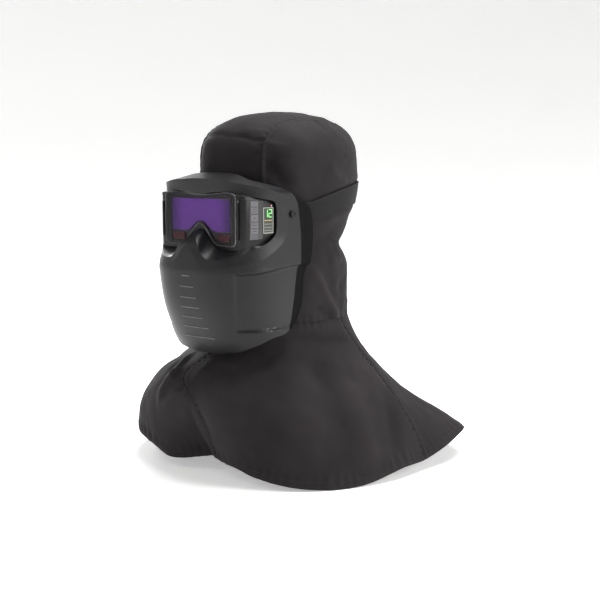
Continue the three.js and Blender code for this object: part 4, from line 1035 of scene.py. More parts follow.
@dataclass
class Hood:
    """The cloth hood: a centre panel over the crown and a panel on each side."""

    head: HeadForm
    cut: HoodCut
    finishes: Finishes

    BROW_ROWS, CROWN_ROWS, NECK_ROWS = 2, 14, 12
    CROWDING = 1.15
    # The strap's course over the hood: its plan angle where it meets the cloth, its heights there
    # and behind the head, and how soon it rises.
    STRAP_MEETS, STRAP_FRONT_Z, STRAP_BACK_Z, STRAP_RISE = 66.0, -129.0, -104.0, 2.3
    FACE_EDGE = Table("drop widen", [(0, 0), (0.25, 11), (0.6, 13), (0.85, 2), (1, -15)])

    # Creases that the wearer's left shows, over the forehead, the temple, the strap and the neck.
    CENTRE_FOLDS = (
        Fold(
            ((-56, -82, -31), (-30, -95, -28), (0, -100, -28), (26, -99, -30), (54, -89, -37)),
            5.0, -1.3, 2.2, (0, 0.4, 1), OPEN_BOTH,
        ),
        Fold(((54, -90, -40), (40, -97, -44), (24, -103, -50)), 4.0, 1.3),
        Fold(((54, -93, -50), (44, -99, -56), (36, -103, -66)), 4.0, -1.2),
        Fold(((54, -80, -26), (36, -92, -22), (14, -95, -19)), 5.0, 1.0),
        Fold(((-54, -88, -38), (-36, -99, -42), (-12, -106, -44)), 5.0, 1.1),
        Fold(((50, 20, -6), (30, 34, -4), (6, 42, -3)), 5.0, -1.6),
        Fold(((52, 34, -9), (34, 52, -8), (10, 60, -8)), 6.0, 1.4),
        Fold(
            ((40, 84, -150), (16, 92, -166), (-10, 92, -160), (-36, 84, -150)),
            9.0, -3.5, open_ends=OPEN_BOTH,
        ),
        Fold(((32, 78, -205), (8, 92, -196), (-24, 88, -206)), 8.0, 2.5),
        Fold(((30, 88, -240), (0, 94, -252), (-26, 90, -244)), 9.0, -2.2),
    )
    SIDE_FOLDS = (
        Fold(((54, -88, -39), (64, -80, -42), (76, -62, -46)), 4.0, 1.5, open_ends=OPEN_START),
        Fold(((55, -92, -49), (66, -83, -55), (78, -66, -60)), 4.5, -1.4, open_ends=OPEN_START),
        Fold(
            ((54, -94, -51), (60, -90, -64), (68, -83, -76), (74, -75, -89), (79, -65, -102)),
            12.0, -4.2,
        ),
        Fold(((62, -94, -80), (72, -84, -92), (80, -72, -108)), 6.0, 2.0),
        Fold(((56, 4, -9), (64, 8, -14), (78, 6, -26)), 4.0, -1.6, open_ends=OPEN_START),
        Fold(((56, 20, -8), (68, 24, -18), (80, 26, -34)), 4.5, 1.6, open_ends=OPEN_START),
        Fold(((92, -10, -70), (90, 14, -82), (86, 40, -90)), 10.0, 1.8),
        Fold(
            ((88, -46, -150), (91, -47, -176), (90, -38, -195),
             (86, -19, -214), (87, -5, -238), (88, 14, -266)),
            6.5, 3.2, open_ends=OPEN_END,
        ),
        Fold(
            ((84, -20, -152), (83, 0, -160), (80, 26, -170), (70, 50, -176), (50, 74, -176)),
            9.0, -3.4, open_ends=OPEN_END,
        ),
        Fold(((84, 4, -196), (82, 26, -192), (76, 44, -190)), 7.0, 2.4),
        Fold(((88, 22, -240), (84, 38, -226), (72, 60, -218)), 8.0, -2.0),
        Fold(((84, -30, -250), (87, -12, -262), (88, 6, -272)), 6.0, -2.0, open_ends=OPEN_END),
        Fold(((70, 62, -260), (80, 46, -250), (86, 26, -256)), 7.0, 1.8),
    )

    def neck_share(self, row: Values) -> np.ndarray:
        """Returns how far down a row behind the crown lies, from 0 to 1 at the neck seam."""
        return power(row / self.NECK_ROWS, self.CROWDING)

    def seam_at(self, index: Values, offset: float) -> np.ndarray:
        """Returns points beside the crown seam, at a distance from it."""
        row = np.maximum(np.asarray(index, float) - self.BROW_ROWS - self.CROWN_ROWS, 0)
        half = mix(self.cut.half_width, self.cut.neck_half_width, self.neck_share(row))
        return self.over(index, half + offset)

    def over(self, index: Values, x: Values) -> np.ndarray:
        """Returns points of the centre panel.

        Args:
            index: the row, from the brow over the crown and down to the neck seam.
            x: distance from the middle plane.
        """
        head = self.head
        index, x = np.broadcast_arrays(np.asarray(index, float), np.asarray(x, float))
        brow = head.across(x, mix(-self.cut.brow_drop, head.widest, index / self.BROW_ROWS), False)
        fan = np.pi * np.clip((index - self.BROW_ROWS) / self.CROWN_ROWS, 0, 1)
        middle = head.crown(np.zeros(fan.shape), -np.cos(fan), np.sin(fan))
        share = power(1 - power(np.abs(x) / head.half_width, head.squareness), 1 / head.squareness)
        crown = points_of(x, middle[..., 1] * share, head.widest + (middle[..., 2] - head.widest) * share)
        row = np.maximum(index - self.BROW_ROWS - self.CROWN_ROWS, 0)
        behind = head.across(x, mix(head.widest, -head.neck_drop, self.neck_share(row)), True)
        on_crown = (index <= self.BROW_ROWS + self.CROWN_ROWS)[..., None]
        return np.where((index < self.BROW_ROWS)[..., None], brow, np.where(on_crown, crown, behind))

    def beside(self, u: np.ndarray, v: np.ndarray) -> np.ndarray:
        """Returns points of the left side panel, u from the brow to the back and v downwards."""
        head, top = self.head, self.BROW_ROWS + self.CROWN_ROWS
        seam = self.cut.seam
        brow = float(plan_angle(self.seam_at(0.0, seam)))
        back = plan_angle(self.seam_at(top + v * self.NECK_ROWS, seam))
        share = self.neck_share(v * self.NECK_ROWS)
        front = brow + np.radians(self.FACE_EDGE.read("widen", share))
        start = self.seam_at(u * top, seam)
        first_back = float(plan_angle(self.seam_at(float(top), seam)))
        start_share = (plan_angle(start) - brow) / (first_back - brow)
        angle = mix(front, back, mix(start_share, u, share))
        rise = np.maximum(start[..., 2] - head.widest, 0)
        latitude = np.arctan2(rise, np.hypot(start[..., 0], start[..., 1]))
        arc = latitude * head.half_width
        level = np.minimum(start[..., 2], head.widest)
        along = share * (arc + level + head.neck_drop)
        lift = latitude * (1 - along / np.maximum(arc, 1e-6))
        lift = np.clip(lift, 0, None)
        crown = head.crown(np.sin(angle) * np.cos(lift), -np.cos(angle) * np.cos(lift), np.sin(lift))
        below = head.section(angle, level - (along - arc))
        return np.where((along < arc)[..., None], crown, below)

    def strap_path(self, shift: float, side: float) -> tuple[Point, ...]:
        """Returns points on the hood beside the strap, shifted up or down from its middle."""
        angles = np.radians(np.linspace(60, 180, 9))
        meets, behind = math.radians(self.STRAP_MEETS), math.pi
        share = np.clip((angles - meets) / (behind - meets), 0, 1)
        heights = mix(self.STRAP_FRONT_Z, self.STRAP_BACK_Z, 1 - (1 - share) ** self.STRAP_RISE) + shift
        return tuple((side * x, y, z) for x, y, z in self.head.section(angles, heights))

    def cinch(self, side: float) -> list[Fold]:
        """Returns the folds where the strap presses into the hood, on one side."""
        rows = ((0, 13.0, -2.2), (21, 6.0, 1.3), (-21, 6.0, 1.5))
        return [
            Fold(self.strap_path(shift, side), width, height, open_ends=OPEN_END)
            for shift, width, height in rows
        ]

    def build(self) -> None:
        """Builds the three panels with their seams and stitches."""
        threads = self.centre()
        for side, name in ((1.0, "left"), (-1.0, "right")):
            threads += self.side(side, name)
        dress(joined(threads), "hood_stitches", self.finishes.thread)

    def centre(self) -> list[Piece]:
        """Builds the centre panel and returns its stitches."""
        cut = self.cut
        rows = self.BROW_ROWS + self.CROWN_ROWS + self.NECK_ROWS

        def place(u: np.ndarray, v: np.ndarray) -> np.ndarray:
            """Returns the panel's points for shares across and down."""
            index = v * rows
            row = np.maximum(index - self.BROW_ROWS - self.CROWN_ROWS, 0)
            half = mix(cut.half_width, cut.neck_half_width, self.neck_share(row)) - cut.seam
            return self.over(index, (2 * u - 1) * half)

        sheet = Sheet(spread(56, 220, place), (0, 0, -120))
        sheet.fold(self.CENTRE_FOLDS)
        sheet.fold([*self.cinch(1.0), *self.cinch(-1.0)])
        sheet.crumple(44.0, 1.5, 0.2)
        sheet.crumple(17.0, 0.5, 3.1)
        sheet.hold(7.0, Edge.LEFT, Edge.RIGHT)
        for edge, seed in ((Edge.LEFT, 0.3), (Edge.RIGHT, 1.9)):
            sheet.pucker(edge, 10.0, 0.75, 9.0, seed)
            sheet.welt(edge, 1.0, -0.9, 1.0)
            sheet.stitch_dip(edge, cut.centre_run, 0.35)
        ends = (Edge.LEFT, Edge.RIGHT)
        threads = [stitches("centre_run", sheet.line(edge, cut.centre_run, 0.1)) for edge in ends]
        panel = sheet.build("hood_centre", cut.cloth)
        dress(panel, "hood_centre", self.finishes.cotton, ["hood_centre_panel"])
        self.declare(panel, sheet)
        return threads

    def side(self, side: float, name: str) -> list[Piece]:
        """Builds a side panel and returns its stitches.

        Args:
            side: 1 for the wearer's left and -1 for the right.
            name: left or right.
        """
        flip = np.array([side, 1.0, 1.0])
        sheet = Sheet(spread(150, 130, self.beside) * flip, (0, 0, -120))
        sheet.fold([self.turned(fold, side) for fold in self.SIDE_FOLDS])
        sheet.fold(self.cinch(side))
        sheet.crumple(38.0, 1.9, 1.4 + side, (1.0, 1.0, 1.6))
        sheet.crumple(15.0, 0.6, 5.2 + side)
        sheet.hold(7.0, Edge.TOP, Edge.RIGHT)
        sheet.pucker(Edge.TOP, 11.0, 0.5, 7.0, 2.2 + side)
        sheet.pucker(Edge.BOTTOM, 13.0, 0.5, 10.0, 0.7 + side)
        sheet.pucker(Edge.RIGHT, 11.0, 0.45, 7.0, 1.1 + side)
        at = self.cut.felled - 1.4
        seams = (Edge.TOP, Edge.RIGHT)
        for edge in seams:
            sheet.welt(edge, self.cut.felled, 0.7, 0.8)
            sheet.stitch_dip(edge, at, 0.3)
        threads = [stitches(f"side_run_{name}", sheet.line(edge, at, 0.1)) for edge in seams]
        panel = sheet.build(f"hood_side_{name}", self.cut.cloth)
        dress(panel, f"hood_side_{name}", self.finishes.cotton, [f"hood_side_panel_{name}"])
        self.declare(panel, sheet)
        return threads

    @staticmethod
    def turned(fold: Fold, side: float) -> Fold:
        """Returns a fold on the given side, with the right's a little weaker."""
        if side > 0:
            return fold
        path = tuple((-x, y + 4, z - 3) for x, y, z in fold.path)
        over = (-fold.over[0], fold.over[1], fold.over[2])
        return Fold(path, fold.width, 0.8 * fold.height, 0.8 * fold.step, over, fold.open_ends)

    @staticmethod
    def declare(panel: Piece, sheet: Sheet) -> None:
        """Measures a panel's sheet for its flat size and area, and keeps neither."""
        sheet.flat_size()
        sheet.area()


@dataclass
class CapeCut:
    """Sizes of the shoulder cape, in millimetres and degrees.

    Attributes:
        cloth: thickness of the cloth.
        reach: from the head's axis to the far corner of the hem.
        drop: from the neck seam down to the lowest point of the hem.
        hem: height of the folded hem.
        side_seam_neck: plan angle of the side seams at the neck.
        side_seam_hem: plan angle of the side seams at the hem.
        run: distance from a panel's side edges to their stitches.
        hem_run: distance from the hem's fold to its stitches.
    """

    cloth: float = 1.3
    reach: float = 258.0
    drop: float = 196.0
    hem: float = 11.0
    side_seam_neck: float = 109.5
    side_seam_hem: float = 103.0
    run: float = 3.4
    hem_run: float = 9.4


@dataclass
class Cape:
    """The shoulder cape: two front panels and a back, with a folded hem."""

    head: HeadForm
    cut: CapeCut
    finishes: Finishes

    SPOKES = Table(
        "angle near near_drop far far_drop hem hem_drop lean",
        [
            (0, 0.427, 0.371, 0.935, 0.139, 0.515, 0.887, 0),
            (20, 0.412, 0.371, 0.878, 0.2, 0.637, 0.907, -0.015),
            (30, 0.405, 0.356, 0.832, 0.253, 0.702, 0.892, 0.03),
            (50, 0.397, 0.335, 0.782, 0.32, 0.767, 0.897, 0.082),
            (70, 0.397, 0.304, 0.718, 0.371, 0.786, 0.928, 0.062),
            (90, 0.4, 0.268, 0.687, 0.438, 0.817, 0.907, 0.02),
            (104, 0.408, 0.222, 0.744, 0.51, 0.847, 0.912, 0.01),
            (120, 0.405, 0.2, 0.61, 0.48, 0.954, 0.84, 0),
            (130, 0.405, 0.2, 0.553, 0.48, 1.0, 0.825, 0),
            (145, 0.405, 0.216, 0.573, 0.49, 0.947, 0.871, 0),
            (180, 0.4, 0.242, 0.592, 0.51, 0.847, 0.923, 0),
        ],
    )

    # Half the slit between two panels, and the distance from the axis where it is half way down.
    SLIT, MIDDLE_REACH = 0.12, 140.0

    # The front seam's plan angle: it wanders where the cape turns down over the chest.
    FRONT_SEAM = Table("along angle", [(0, 0), (0.22, -4), (0.5, -8.6), (0.73, 2.5), (0.88, 8.4), (1, 6.6)])

    # Folds of the wearer's left front: under the neck seam, over the shoulder and down to the hem.
    LEFT_FOLDS = (
        Fold(
            ((70, -76, -286), (82, -53, -291), (95, -26, -296), (101, 8, -300), (96, 34, -302)),
            7.0, -2.6,
        ),
        Fold(
            ((100, -22, -306), (123, 1, -327), (141, 21, -345), (164, 35, -371), (184, 40, -400)),
            20.0, 3.2,
        ),
        Fold(
            ((84, -78, -300), (104, -84, -330), (126, -92, -372), (146, -100, -420)),
            22.0, 3.0, open_ends=OPEN_END,
        ),
        Fold(
            ((96, -50, -306), (124, -54, -344), (150, -62, -392), (166, -70, -440)),
            18.0, -3.0, open_ends=OPEN_END,
        ),
        Fold(
            ((22, -140, -322), (30, -168, -350), (40, -178, -392), (48, -168, -436)),
            20.0, 2.6, open_ends=OPEN_END,
        ),
        Fold(((128, -30, -336), (158, -34, -380), (186, -40, -428)), 16.0, 2.4, open_ends=OPEN_END),
        Fold(((112, -4, -312), (132, -12, -332), (148, -24, -356)), 8.0, -1.8),
        Fold(((150, 40, -352), (176, 24, -384), (196, 0, -424)), 14.0, -2.6, open_ends=OPEN_END),
    )
    # Folds of the wearer's right front: sharp creases where it turns down over the chest.
    RIGHT_FOLDS = (
        Fold(
            ((-48, -108, -312), (-52, -124, -322), (-48, -146, -334), (-46, -160, -346),
             (-56, -166, -360), (-60, -171, -378), (-64, -170, -392)),
            5.5, 4.6,
        ),
        Fold(((-34, -148, -332), (-48, -156, -342), (-58, -164, -358)), 4.0, 2.6),
        Fold(((-14, -172, -352), (-30, -174, -362), (-44, -172, -374), (-58, -168, -384)), 5.0, 2.6),
        Fold(((-70, -112, -322), (-74, -134, -340), (-72, -152, -358), (-76, -158, -384)), 8.0, -3.4),
        Fold(
            ((-90, -96, -320), (-106, -112, -352), (-112, -122, -398), (-112, -124, -444)),
            17.0, 4.0, open_ends=OPEN_END,
        ),
        Fold(
            ((-98, -50, -306), (-128, -56, -346), (-154, -62, -398), (-166, -62, -440)),
            20.0, 3.0, open_ends=OPEN_END,
        ),
        Fold(((-110, -84, -326), (-136, -92, -372), (-146, -96, -430)), 15.0, -3.4, open_ends=OPEN_END),
        Fold(((-102, -10, -302), (-136, -4, -344), (-168, 6, -396)), 18.0, 2.6),
    )
    BACK_FOLDS = (
        Fold(
            ((84, 62, -300), (60, 88, -302), (20, 102, -304),
             (-24, 102, -304), (-64, 84, -302), (-88, 56, -300)),
            8.0, -2.4,
        ),
        Fold(
            ((104, 74, -312), (136, 106, -350), (164, 136, -396), (186, 156, -430)),
            20.0, 3.4, open_ends=OPEN_END,
        ),
        Fold(
            ((84, 96, -316), (100, 134, -356), (116, 172, -410), (120, 190, -450)),
            20.0, -3.6, open_ends=OPEN_END,
        ),
        Fold(
            ((44, 116, -318), (50, 154, -360), (52, 190, -420), (50, 200, -452)),
            22.0, 3.4, open_ends=OPEN_END,
        ),
        Fold(((2, 118, -316), (-4, 158, -366), (-6, 196, -430)), 20.0, -3.0, open_ends=OPEN_END),
        Fold(((-50, 112, -318), (-60, 150, -364), (-66, 188, -430)), 22.0, 3.6, open_ends=OPEN_END),
        Fold(((-98, 84, -316), (-124, 116, -360), (-146, 144, -420)), 19.0, -3.2, open_ends=OPEN_END),
        Fold(((-112, 54, -316), (-146, 70, -356), (-178, 86, -412)), 18.0, 2.8, open_ends=OPEN_END),
    )

    def at(self, degrees: np.ndarray, along: np.ndarray) -> np.ndarray:
        """Returns points of the cape, along going from 0 at the neck seam to 1 at the hem."""
        signed = np.where(degrees > 180, degrees - 360, degrees)
        read = {name: self.SPOKES.read(name, np.abs(signed)) for name in self.SPOKES.names}
        angle = np.radians(signed)
        start = self.head.section(angle, -self.head.neck_drop)
        back = 1 - along
        a, b, c, d = back**3, 3 * along * back**2, 3 * along**2 * back, along**3
        reach = self.cut.reach * (b * read["near"] + c * read["far"] + d * read["hem"])
        hem_drop = read["hem_drop"] + read["lean"] * np.sign(signed)
        drop = self.cut.drop * (b * read["near_drop"] + c * read["far_drop"] + d * hem_drop)
        out = a * np.hypot(start[..., 0], start[..., 1]) + reach
        return points_of(out * np.sin(angle), -out * np.cos(angle), -self.head.neck_drop - 0.3 - drop)

    def side_seam(self, v: np.ndarray) -> np.ndarray:
        """Returns the left side seam's plan angle, by the share down to the hem."""
        return mix(self.cut.side_seam_neck, self.cut.side_seam_hem, v)

    def front_seam(self, v: np.ndarray) -> np.ndarray:
        """Returns the front seam's plan angle, by the share down to the hem."""
        return self.FRONT_SEAM.read("angle", v)

    def gap(self, v: np.ndarray) -> np.ndarray:
        """Returns half the slit between two panels as a plan angle."""
        return np.degrees(self.SLIT / mix(self.head.half_width, self.MIDDLE_REACH, v))

    def build(self) -> None:
        """Builds the three panels, their hem and their stitches."""
        side, front, gap = self.side_seam, self.front_seam, self.gap
        ends = {
            "left": (lambda v: front(v) + gap(v), lambda v: side(v) - gap(v)),
            "right": (lambda v: gap(v) - side(v), lambda v: front(v) - gap(v)),
            "back": (lambda v: side(v) + gap(v), lambda v: 360 - side(v) - gap(v)),
        }
        threads = self.panel("left", *ends["left"], 120, self.LEFT_FOLDS, 0.4)
        threads += self.panel("right", *ends["right"], 120, self.RIGHT_FOLDS, 1.3)
        threads += self.panel("back", *ends["back"], 170, self.BACK_FOLDS, 2.7)
        dress(joined(threads), "cape_stitches", self.finishes.thread)

    def panel(
        self,
        name: str,
        start: Callable[[np.ndarray], np.ndarray],
        end: Callable[[np.ndarray], np.ndarray],
        columns: int,
        folds: Sequence[Fold],
        seed: float,
    ) -> list[Piece]:
        """Builds one panel of the cape.

        Args:
            name: left, right or back.
            start: plan angle of its first edge, by the share down to the hem.
            end: plan angle of its last edge.
            columns: faces across it.
            folds: its own folds.
            seed: moves its small unevenness.

        Returns:
            Its runs of stitches.
        """
        grid = spread(columns, 110, lambda u, v: self.at(mix(start(v), end(v), u), v))
        sheet = Sheet(grid, (0, 0, -420))
        sheet.fold(folds)
        sheet.crumple(60.0, 2.6, seed, (1.0, 1.0, 1.4))
        sheet.crumple(18.0, 0.6, 4.0 + seed)
        # The seams hold the cloth, so its folds fade beside them.
        sheet.hold(11.0, Edge.LEFT, Edge.RIGHT, Edge.TOP)
        sheet.pucker(Edge.TOP, 13.0, 0.5, 9.0, seed)
        sheet.pucker(Edge.BOTTOM, 12.5, 1.0, 9.0, 1.7 * seed, at=self.cut.hem)
        for edge in (Edge.LEFT, Edge.RIGHT):
            sheet.pucker(edge, 10.0, 0.7, 8.0, seed + 0.9)
            sheet.welt(edge, 1.0, -0.9, 1.0)
            sheet.stitch_dip(edge, self.cut.run, 0.35)
        sheet.welt(Edge.BOTTOM, self.cut.hem, 0.8, 0.8)
        sheet.stitch_dip(Edge.BOTTOM, self.cut.hem_run, 0.4)
        runs = ((Edge.LEFT, self.cut.run), (Edge.RIGHT, self.cut.run), (Edge.BOTTOM, self.cut.hem_run))
        threads = [stitches(f"cape_run_{name}", sheet.line(edge, at, 0.1)) for edge, at in runs]
        piece = sheet.build(f"cape_{name}", self.cut.cloth)
        node = "cape_back" if name == "back" else f"cape_front_{name}"
        dress(piece, f"cape_{name}_cloth", self.finishes.cotton, [node])
        width = float(sheet.along(Edge.BOTTOM)[-1].max()) * MM
        length = float(sheet.along(Edge.LEFT)[-1].max()) * MM
        sheet.area()
        return threads


@dataclass
class ShellMould:
    """Sizes of the mask shell, in millimetres.

    Attributes:
        wall: thickness of the plastic.
        top: height of the brow ledge's rear edge.
        height: from there down to the chin.
        half_width: of the shell at the temples.
        front: reach of the nose bridge from the head's axis.
        ledge: depth of the brow ledge.
        recess: depth of the flat below the cheek step.
        bezel: depth of the window's edge below the shell's surface.
    """

    wall: float = 2.2
    top: float = -77.0
    height: float = 231.0
    half_width: float = 89.0
    front: float = 180.0
    ledge: float = 32.0
    recess: float = 3.0
    bezel: float = 2.6


@dataclass
class GoggleMould:
    """Sizes of the goggle, in millimetres.

    Attributes:
        front: of the housing, from the head's axis.
        half_width: of its flat front.
        corner: radius of the turn to its sides.
        side_end: rear ends of the sides: out from the middle, and back from the front.
        top: height of the housing's upper edge.
        height: of the housing.
        gap: between hard pieces that rest on each other.
    """

    front: float = 151.8
    half_width: float = 72.5
    corner: float = 7.0
    side_end: tuple[float, float] = (83.2, 66.8)
    top: float = -104.1
    height: float = 68.8
    gap: float = 0.4

    @property
    def path_length(self) -> float:
        """Length of the goggle's path from the middle to a rear end."""
        return self.half_width + math.hypot(self.side_end[0] - self.half_width, self.side_end[1])

    def path(self, along: np.ndarray) -> tuple[np.ndarray, np.ndarray, np.ndarray, np.ndarray]:
        """Returns places on the goggle's path seen from above.

        Args:
            along: distances from the middle plane.

        Returns:
            x, y, and the outward normal's x and y.
        """
        dx, dy = self.side_end[0] - self.half_width, self.side_end[1]
        length = math.hypot(dx, dy)
        turn = math.acos(dx / length)
        trim = self.corner * math.tan(turn / 2)
        flat, arc = self.half_width - trim, self.corner * turn
        distance, sign = np.abs(along), np.where(np.asarray(along) < 0, -1.0, 1.0)
        angle = np.clip((distance - flat) / self.corner, 0, turn)
        past = np.maximum(distance - flat - arc, 0)
        x = np.minimum(distance, flat) + self.corner * np.sin(angle) + past * dx / length
        y = self.corner * (1 - np.cos(angle)) + past * dy / length
        return sign * x, y - self.front, sign * np.sin(angle), -np.cos(angle)

    def at(self, along: np.ndarray, z: np.ndarray, height: float) -> np.ndarray:
        """Returns points a height above the goggle's surface."""
        x, y, nx, ny = self.path(along)
        return points_of(x + nx * height, y + ny * height, z)


@dataclass
class MaskShell:
    """The hard shell: window bezel, brow ledge, cheek steps and the ribs on the chin."""

    mould: ShellMould
    goggle: GoggleMould
    finishes: Finishes

    SECTIONS = Table(
        "drop front width back square",
        [
            (0.026, 0.867, 0.966, 0.787, 3.6),
            (0.121, 0.867, 0.989, 0.742, 4.3),
            (0.316, 0.928, 1.0, 0.674, 3.5),
            (0.381, 0.978, 1.0, 0.663, 3.2),
            (0.505, 0.998, 1.0, 0.667, 3.1),
            (0.53, 1.0, 1.0, 0.713, 3.1),
            (0.732, 0.956, 0.978, 0.775, 3.0),
            (0.905, 0.867, 0.944, 0.854, 2.8),
            (1.0, 0.8, 0.9, 0.93, 2.6),
        ],
    )
    # Spokes of the shell from the brow's top round the side to the chin's bottom: seat is where
    # the window's inner wall meets the goggle, window its edge, crease the outer edge of the
    # bevel and rim the shell's outline.
    SPOKES = Table(
        "index seat seat_drop window window_drop crease crease_drop rim rim_drop ledge",
        [
            (0, 0, 0.115, 0.0, 0.11, 0.0, 0.029, 0.0, 0.0, 1),
            (1, 0.07, 0.113, 0.07, 0.108, 0.09, 0.03, 0.09, 0.0, 1),
            (2, 0.16, 0.105, 0.15, 0.101, 0.2, 0.035, 0.2, 0.003, 1),
            (3, 0.27, 0.099, 0.25, 0.094, 0.305, 0.039, 0.3, 0.009, 0.95),
            (4, 0.37, 0.103, 0.35, 0.1, 0.42, 0.052, 0.43, 0.022, 0.85),
            (5, 0.5, 0.115, 0.455, 0.112, 0.53, 0.065, 0.56, 0.037, 0.7),
            (6, 0.62, 0.13, 0.55, 0.125, 0.63, 0.078, 0.69, 0.052, 0.5),
            (7, 0.73, 0.145, 0.656, 0.139, 0.74, 0.095, 0.82, 0.074, 0.25),
            (8, 0.85, 0.15, 0.735, 0.152, 0.815, 0.117, 0.93, 0.104, 0.06),
            (9, 0.86, 0.186, 0.758, 0.182, 0.858, 0.152, 0.99, 0.156, 0),
            (10, 0.86, 0.238, 0.757, 0.238, 0.864, 0.221, 1.0, 0.229, 0),
            (11, 0.86, 0.312, 0.748, 0.307, 0.855, 0.299, 1.0, 0.325, 0),
            (12, 0.83, 0.348, 0.725, 0.342, 0.825, 0.364, 1.0, 0.415, 0),
            (13, 0.76, 0.3745, 0.66, 0.377, 0.75, 0.411, 1.0, 0.503, 0),
            (14, 0.655, 0.385, 0.59, 0.398, 0.665, 0.446, 1.0, 0.54, 0),
            (15, 0.59, 0.396, 0.53, 0.413, 0.59, 0.468, 1.0, 0.69, 0),
            (16, 0.53, 0.407, 0.466, 0.427, 0.51, 0.481, 0.98, 0.866, 0),
            (17, 0.46, 0.413, 0.4, 0.442, 0.434, 0.489, 0.77, 0.905, 0),
            (18, 0.4, 0.418, 0.342, 0.453, 0.36, 0.496, 0.6, 0.944, 0),
            (19, 0.32, 0.418, 0.277, 0.461, 0.29, 0.5, 0.45, 0.976, 0),
            (20, 0.25, 0.411, 0.218, 0.463, 0.217, 0.502, 0.33, 0.987, 0),
            (21, 0.19, 0.394, 0.17, 0.455, 0.15, 0.494, 0.24, 0.994, 0),
            (22, 0.14, 0.366, 0.13, 0.429, 0.095, 0.463, 0.16, 0.998, 0),
            (23, 0.09, 0.338, 0.1, 0.39, 0.065, 0.429, 0.09, 1.0, 0),
            (24, 0.05, 0.312, 0.055, 0.351, 0.035, 0.398, 0.04, 1.0, 0),
            (25, 0, 0.301, 0.0, 0.332, 0.0, 0.383, 0.0, 1.0, 0),
        ],
    )
    LAST = 25
    # Heights of the chin's ribs, with half of each rib's width.
    RIBS = ((-205, 7), (-219, 12), (-233, 14), (-246, 16), (-259, 18), (-272.5, 22), (-286, 27))

    def height_of(self, drop: Values) -> Values:
        """Returns the height of a drop, which is a share of the shell's height."""
        return self.mould.top - self.mould.height * drop

    def at(self, round_share: Values, drop: Values) -> np.ndarray:
        """Returns points of the outer surface.

        Args:
            round_share: share of the way round the section from the middle to the rear edge.
            drop: share of the shell's height below its top.
        """
        mould = self.mould
        round_share, drop = np.broadcast_arrays(np.asarray(round_share, float), np.asarray(drop, float))
        level = np.clip(drop, self.SECTIONS.rows[0, 0], 1)
        read = {name: self.SECTIONS.read(name, level)[..., None] for name in self.SECTIONS.names}
        width, front = mould.half_width * read["width"], mould.front * read["front"]
        back, exponent = mould.half_width * read["back"], 2 / read["square"]
        turn = np.linspace(0, np.pi / 2, 121)
        x = width * power(np.sin(turn), exponent)
        y = -back - (front - back) * power(np.cos(turn), exponent)
        lengths = np.zeros(x.shape)
        lengths[..., 1:] = np.cumsum(np.hypot(np.diff(x, axis=-1), np.diff(y, axis=-1)), axis=-1)
        target = np.minimum(np.abs(round_share), 1)[..., None] * lengths[..., -1:]
        i = np.clip((lengths < target).sum(axis=-1, keepdims=True), 1, len(turn) - 1)
        ends = [
            [np.take_along_axis(values, k, axis=-1) for k in (i - 1, i)] for values in (lengths, x, y)
        ]
        low, high = ends[0]
        x, y = (mix(*pair, (target - low) / (high - low))[..., 0] for pair in ends[1:])
        return points_of(np.sign(round_share) * x, y, self.height_of(drop))

    def normal(self, round_share: Values, drop: Values) -> np.ndarray:
        """Returns the outward normals of the outer surface."""
        step = 0.01
        clear = np.clip(round_share, -1 + step, 1 - step)
        along = self.signed(clear + step, drop) - self.signed(clear - step, drop)
        down = self.signed(clear, drop + step) - self.signed(clear, drop - step)
        normals = np.cross(down, along)
        return normals / np.linalg.norm(normals, axis=-1, keepdims=True)

    def signed(self, round_share: Values, drop: Values) -> np.ndarray:
        """Returns points as at does, also right on the middle plane."""
        return self.at(np.where(np.asarray(round_share) == 0, 1e-9, round_share), drop)

    def cheek_depth(self, round_share: np.ndarray, drop: np.ndarray) -> np.ndarray:
        """Returns how far the cheek's flat lies below the surface."""
        around = np.abs(round_share)
        step = mix(0.535, 0.505, smoothstep(0.55, 0.95, around))
        below = smoothstep(step, step + 0.011, drop) * (1 - smoothstep(0.845, 0.865, drop))
        return self.mould.recess * smoothstep(0.395, 0.44, around) * below

    def half(self, index: np.ndarray, sign: float) -> np.ndarray:
        """Returns the rows of points of one half of the shell, from the seat out to the rim."""
        mould, goggle = self.mould, self.goggle
        read = {name: self.SPOKES.read(name, index) for name in self.SPOKES.names}
        x, y, nx, ny = goggle.path(sign * read["seat"] * goggle.path_length)
        x = np.where(read["seat"] < 1e-6, 0.0, x)
        seat_normal = points_of(nx, ny, 0.0)
        seat = points_of(x, y, self.height_of(read["seat_drop"])) + goggle.gap * seat_normal
        window_round, crease_round = sign * read["window"], sign * read["crease"]
        window = self.signed(window_round, read["window_drop"])
        window = window - mould.bezel * self.normal(window_round, read["window_drop"])
        crease = self.signed(crease_round, read["crease_drop"])
        rows = [mix(seat, window, share) for share in (0.0, 0.3, 0.6, 0.85)]
        rows += [mix(window, crease, share) for share in (0.0, 0.2, 0.45, 0.7, 0.86)]
        first = self.SECTIONS.rows[0, 0]
        shares = np.concatenate([[0.0, 0.025, 0.06], np.linspace(0.1, 0.95, 44), [0.98, 1.0]])
        for share in shares:
            around = sign * mix(read["crease"], read["rim"], share)
            drop = mix(read["crease_drop"], read["rim_drop"], share)
            normal = self.normal(around, np.maximum(drop, first))
            level = np.where(read["ledge"] > 0, np.maximum(drop, read["crease_drop"]), drop)
            depth = self.cheek_depth(around, drop) + mould.ledge * np.maximum(read["ledge"], 0) * share
            point = self.signed(around, level) - normal * depth[:, None]
            point[:, 2] = self.height_of(drop)
            rows.append(point)
        points = np.array(rows)
        middle = (index == 0) | (index == self.LAST)
        points[:, middle, 0] = 0.0
        return points

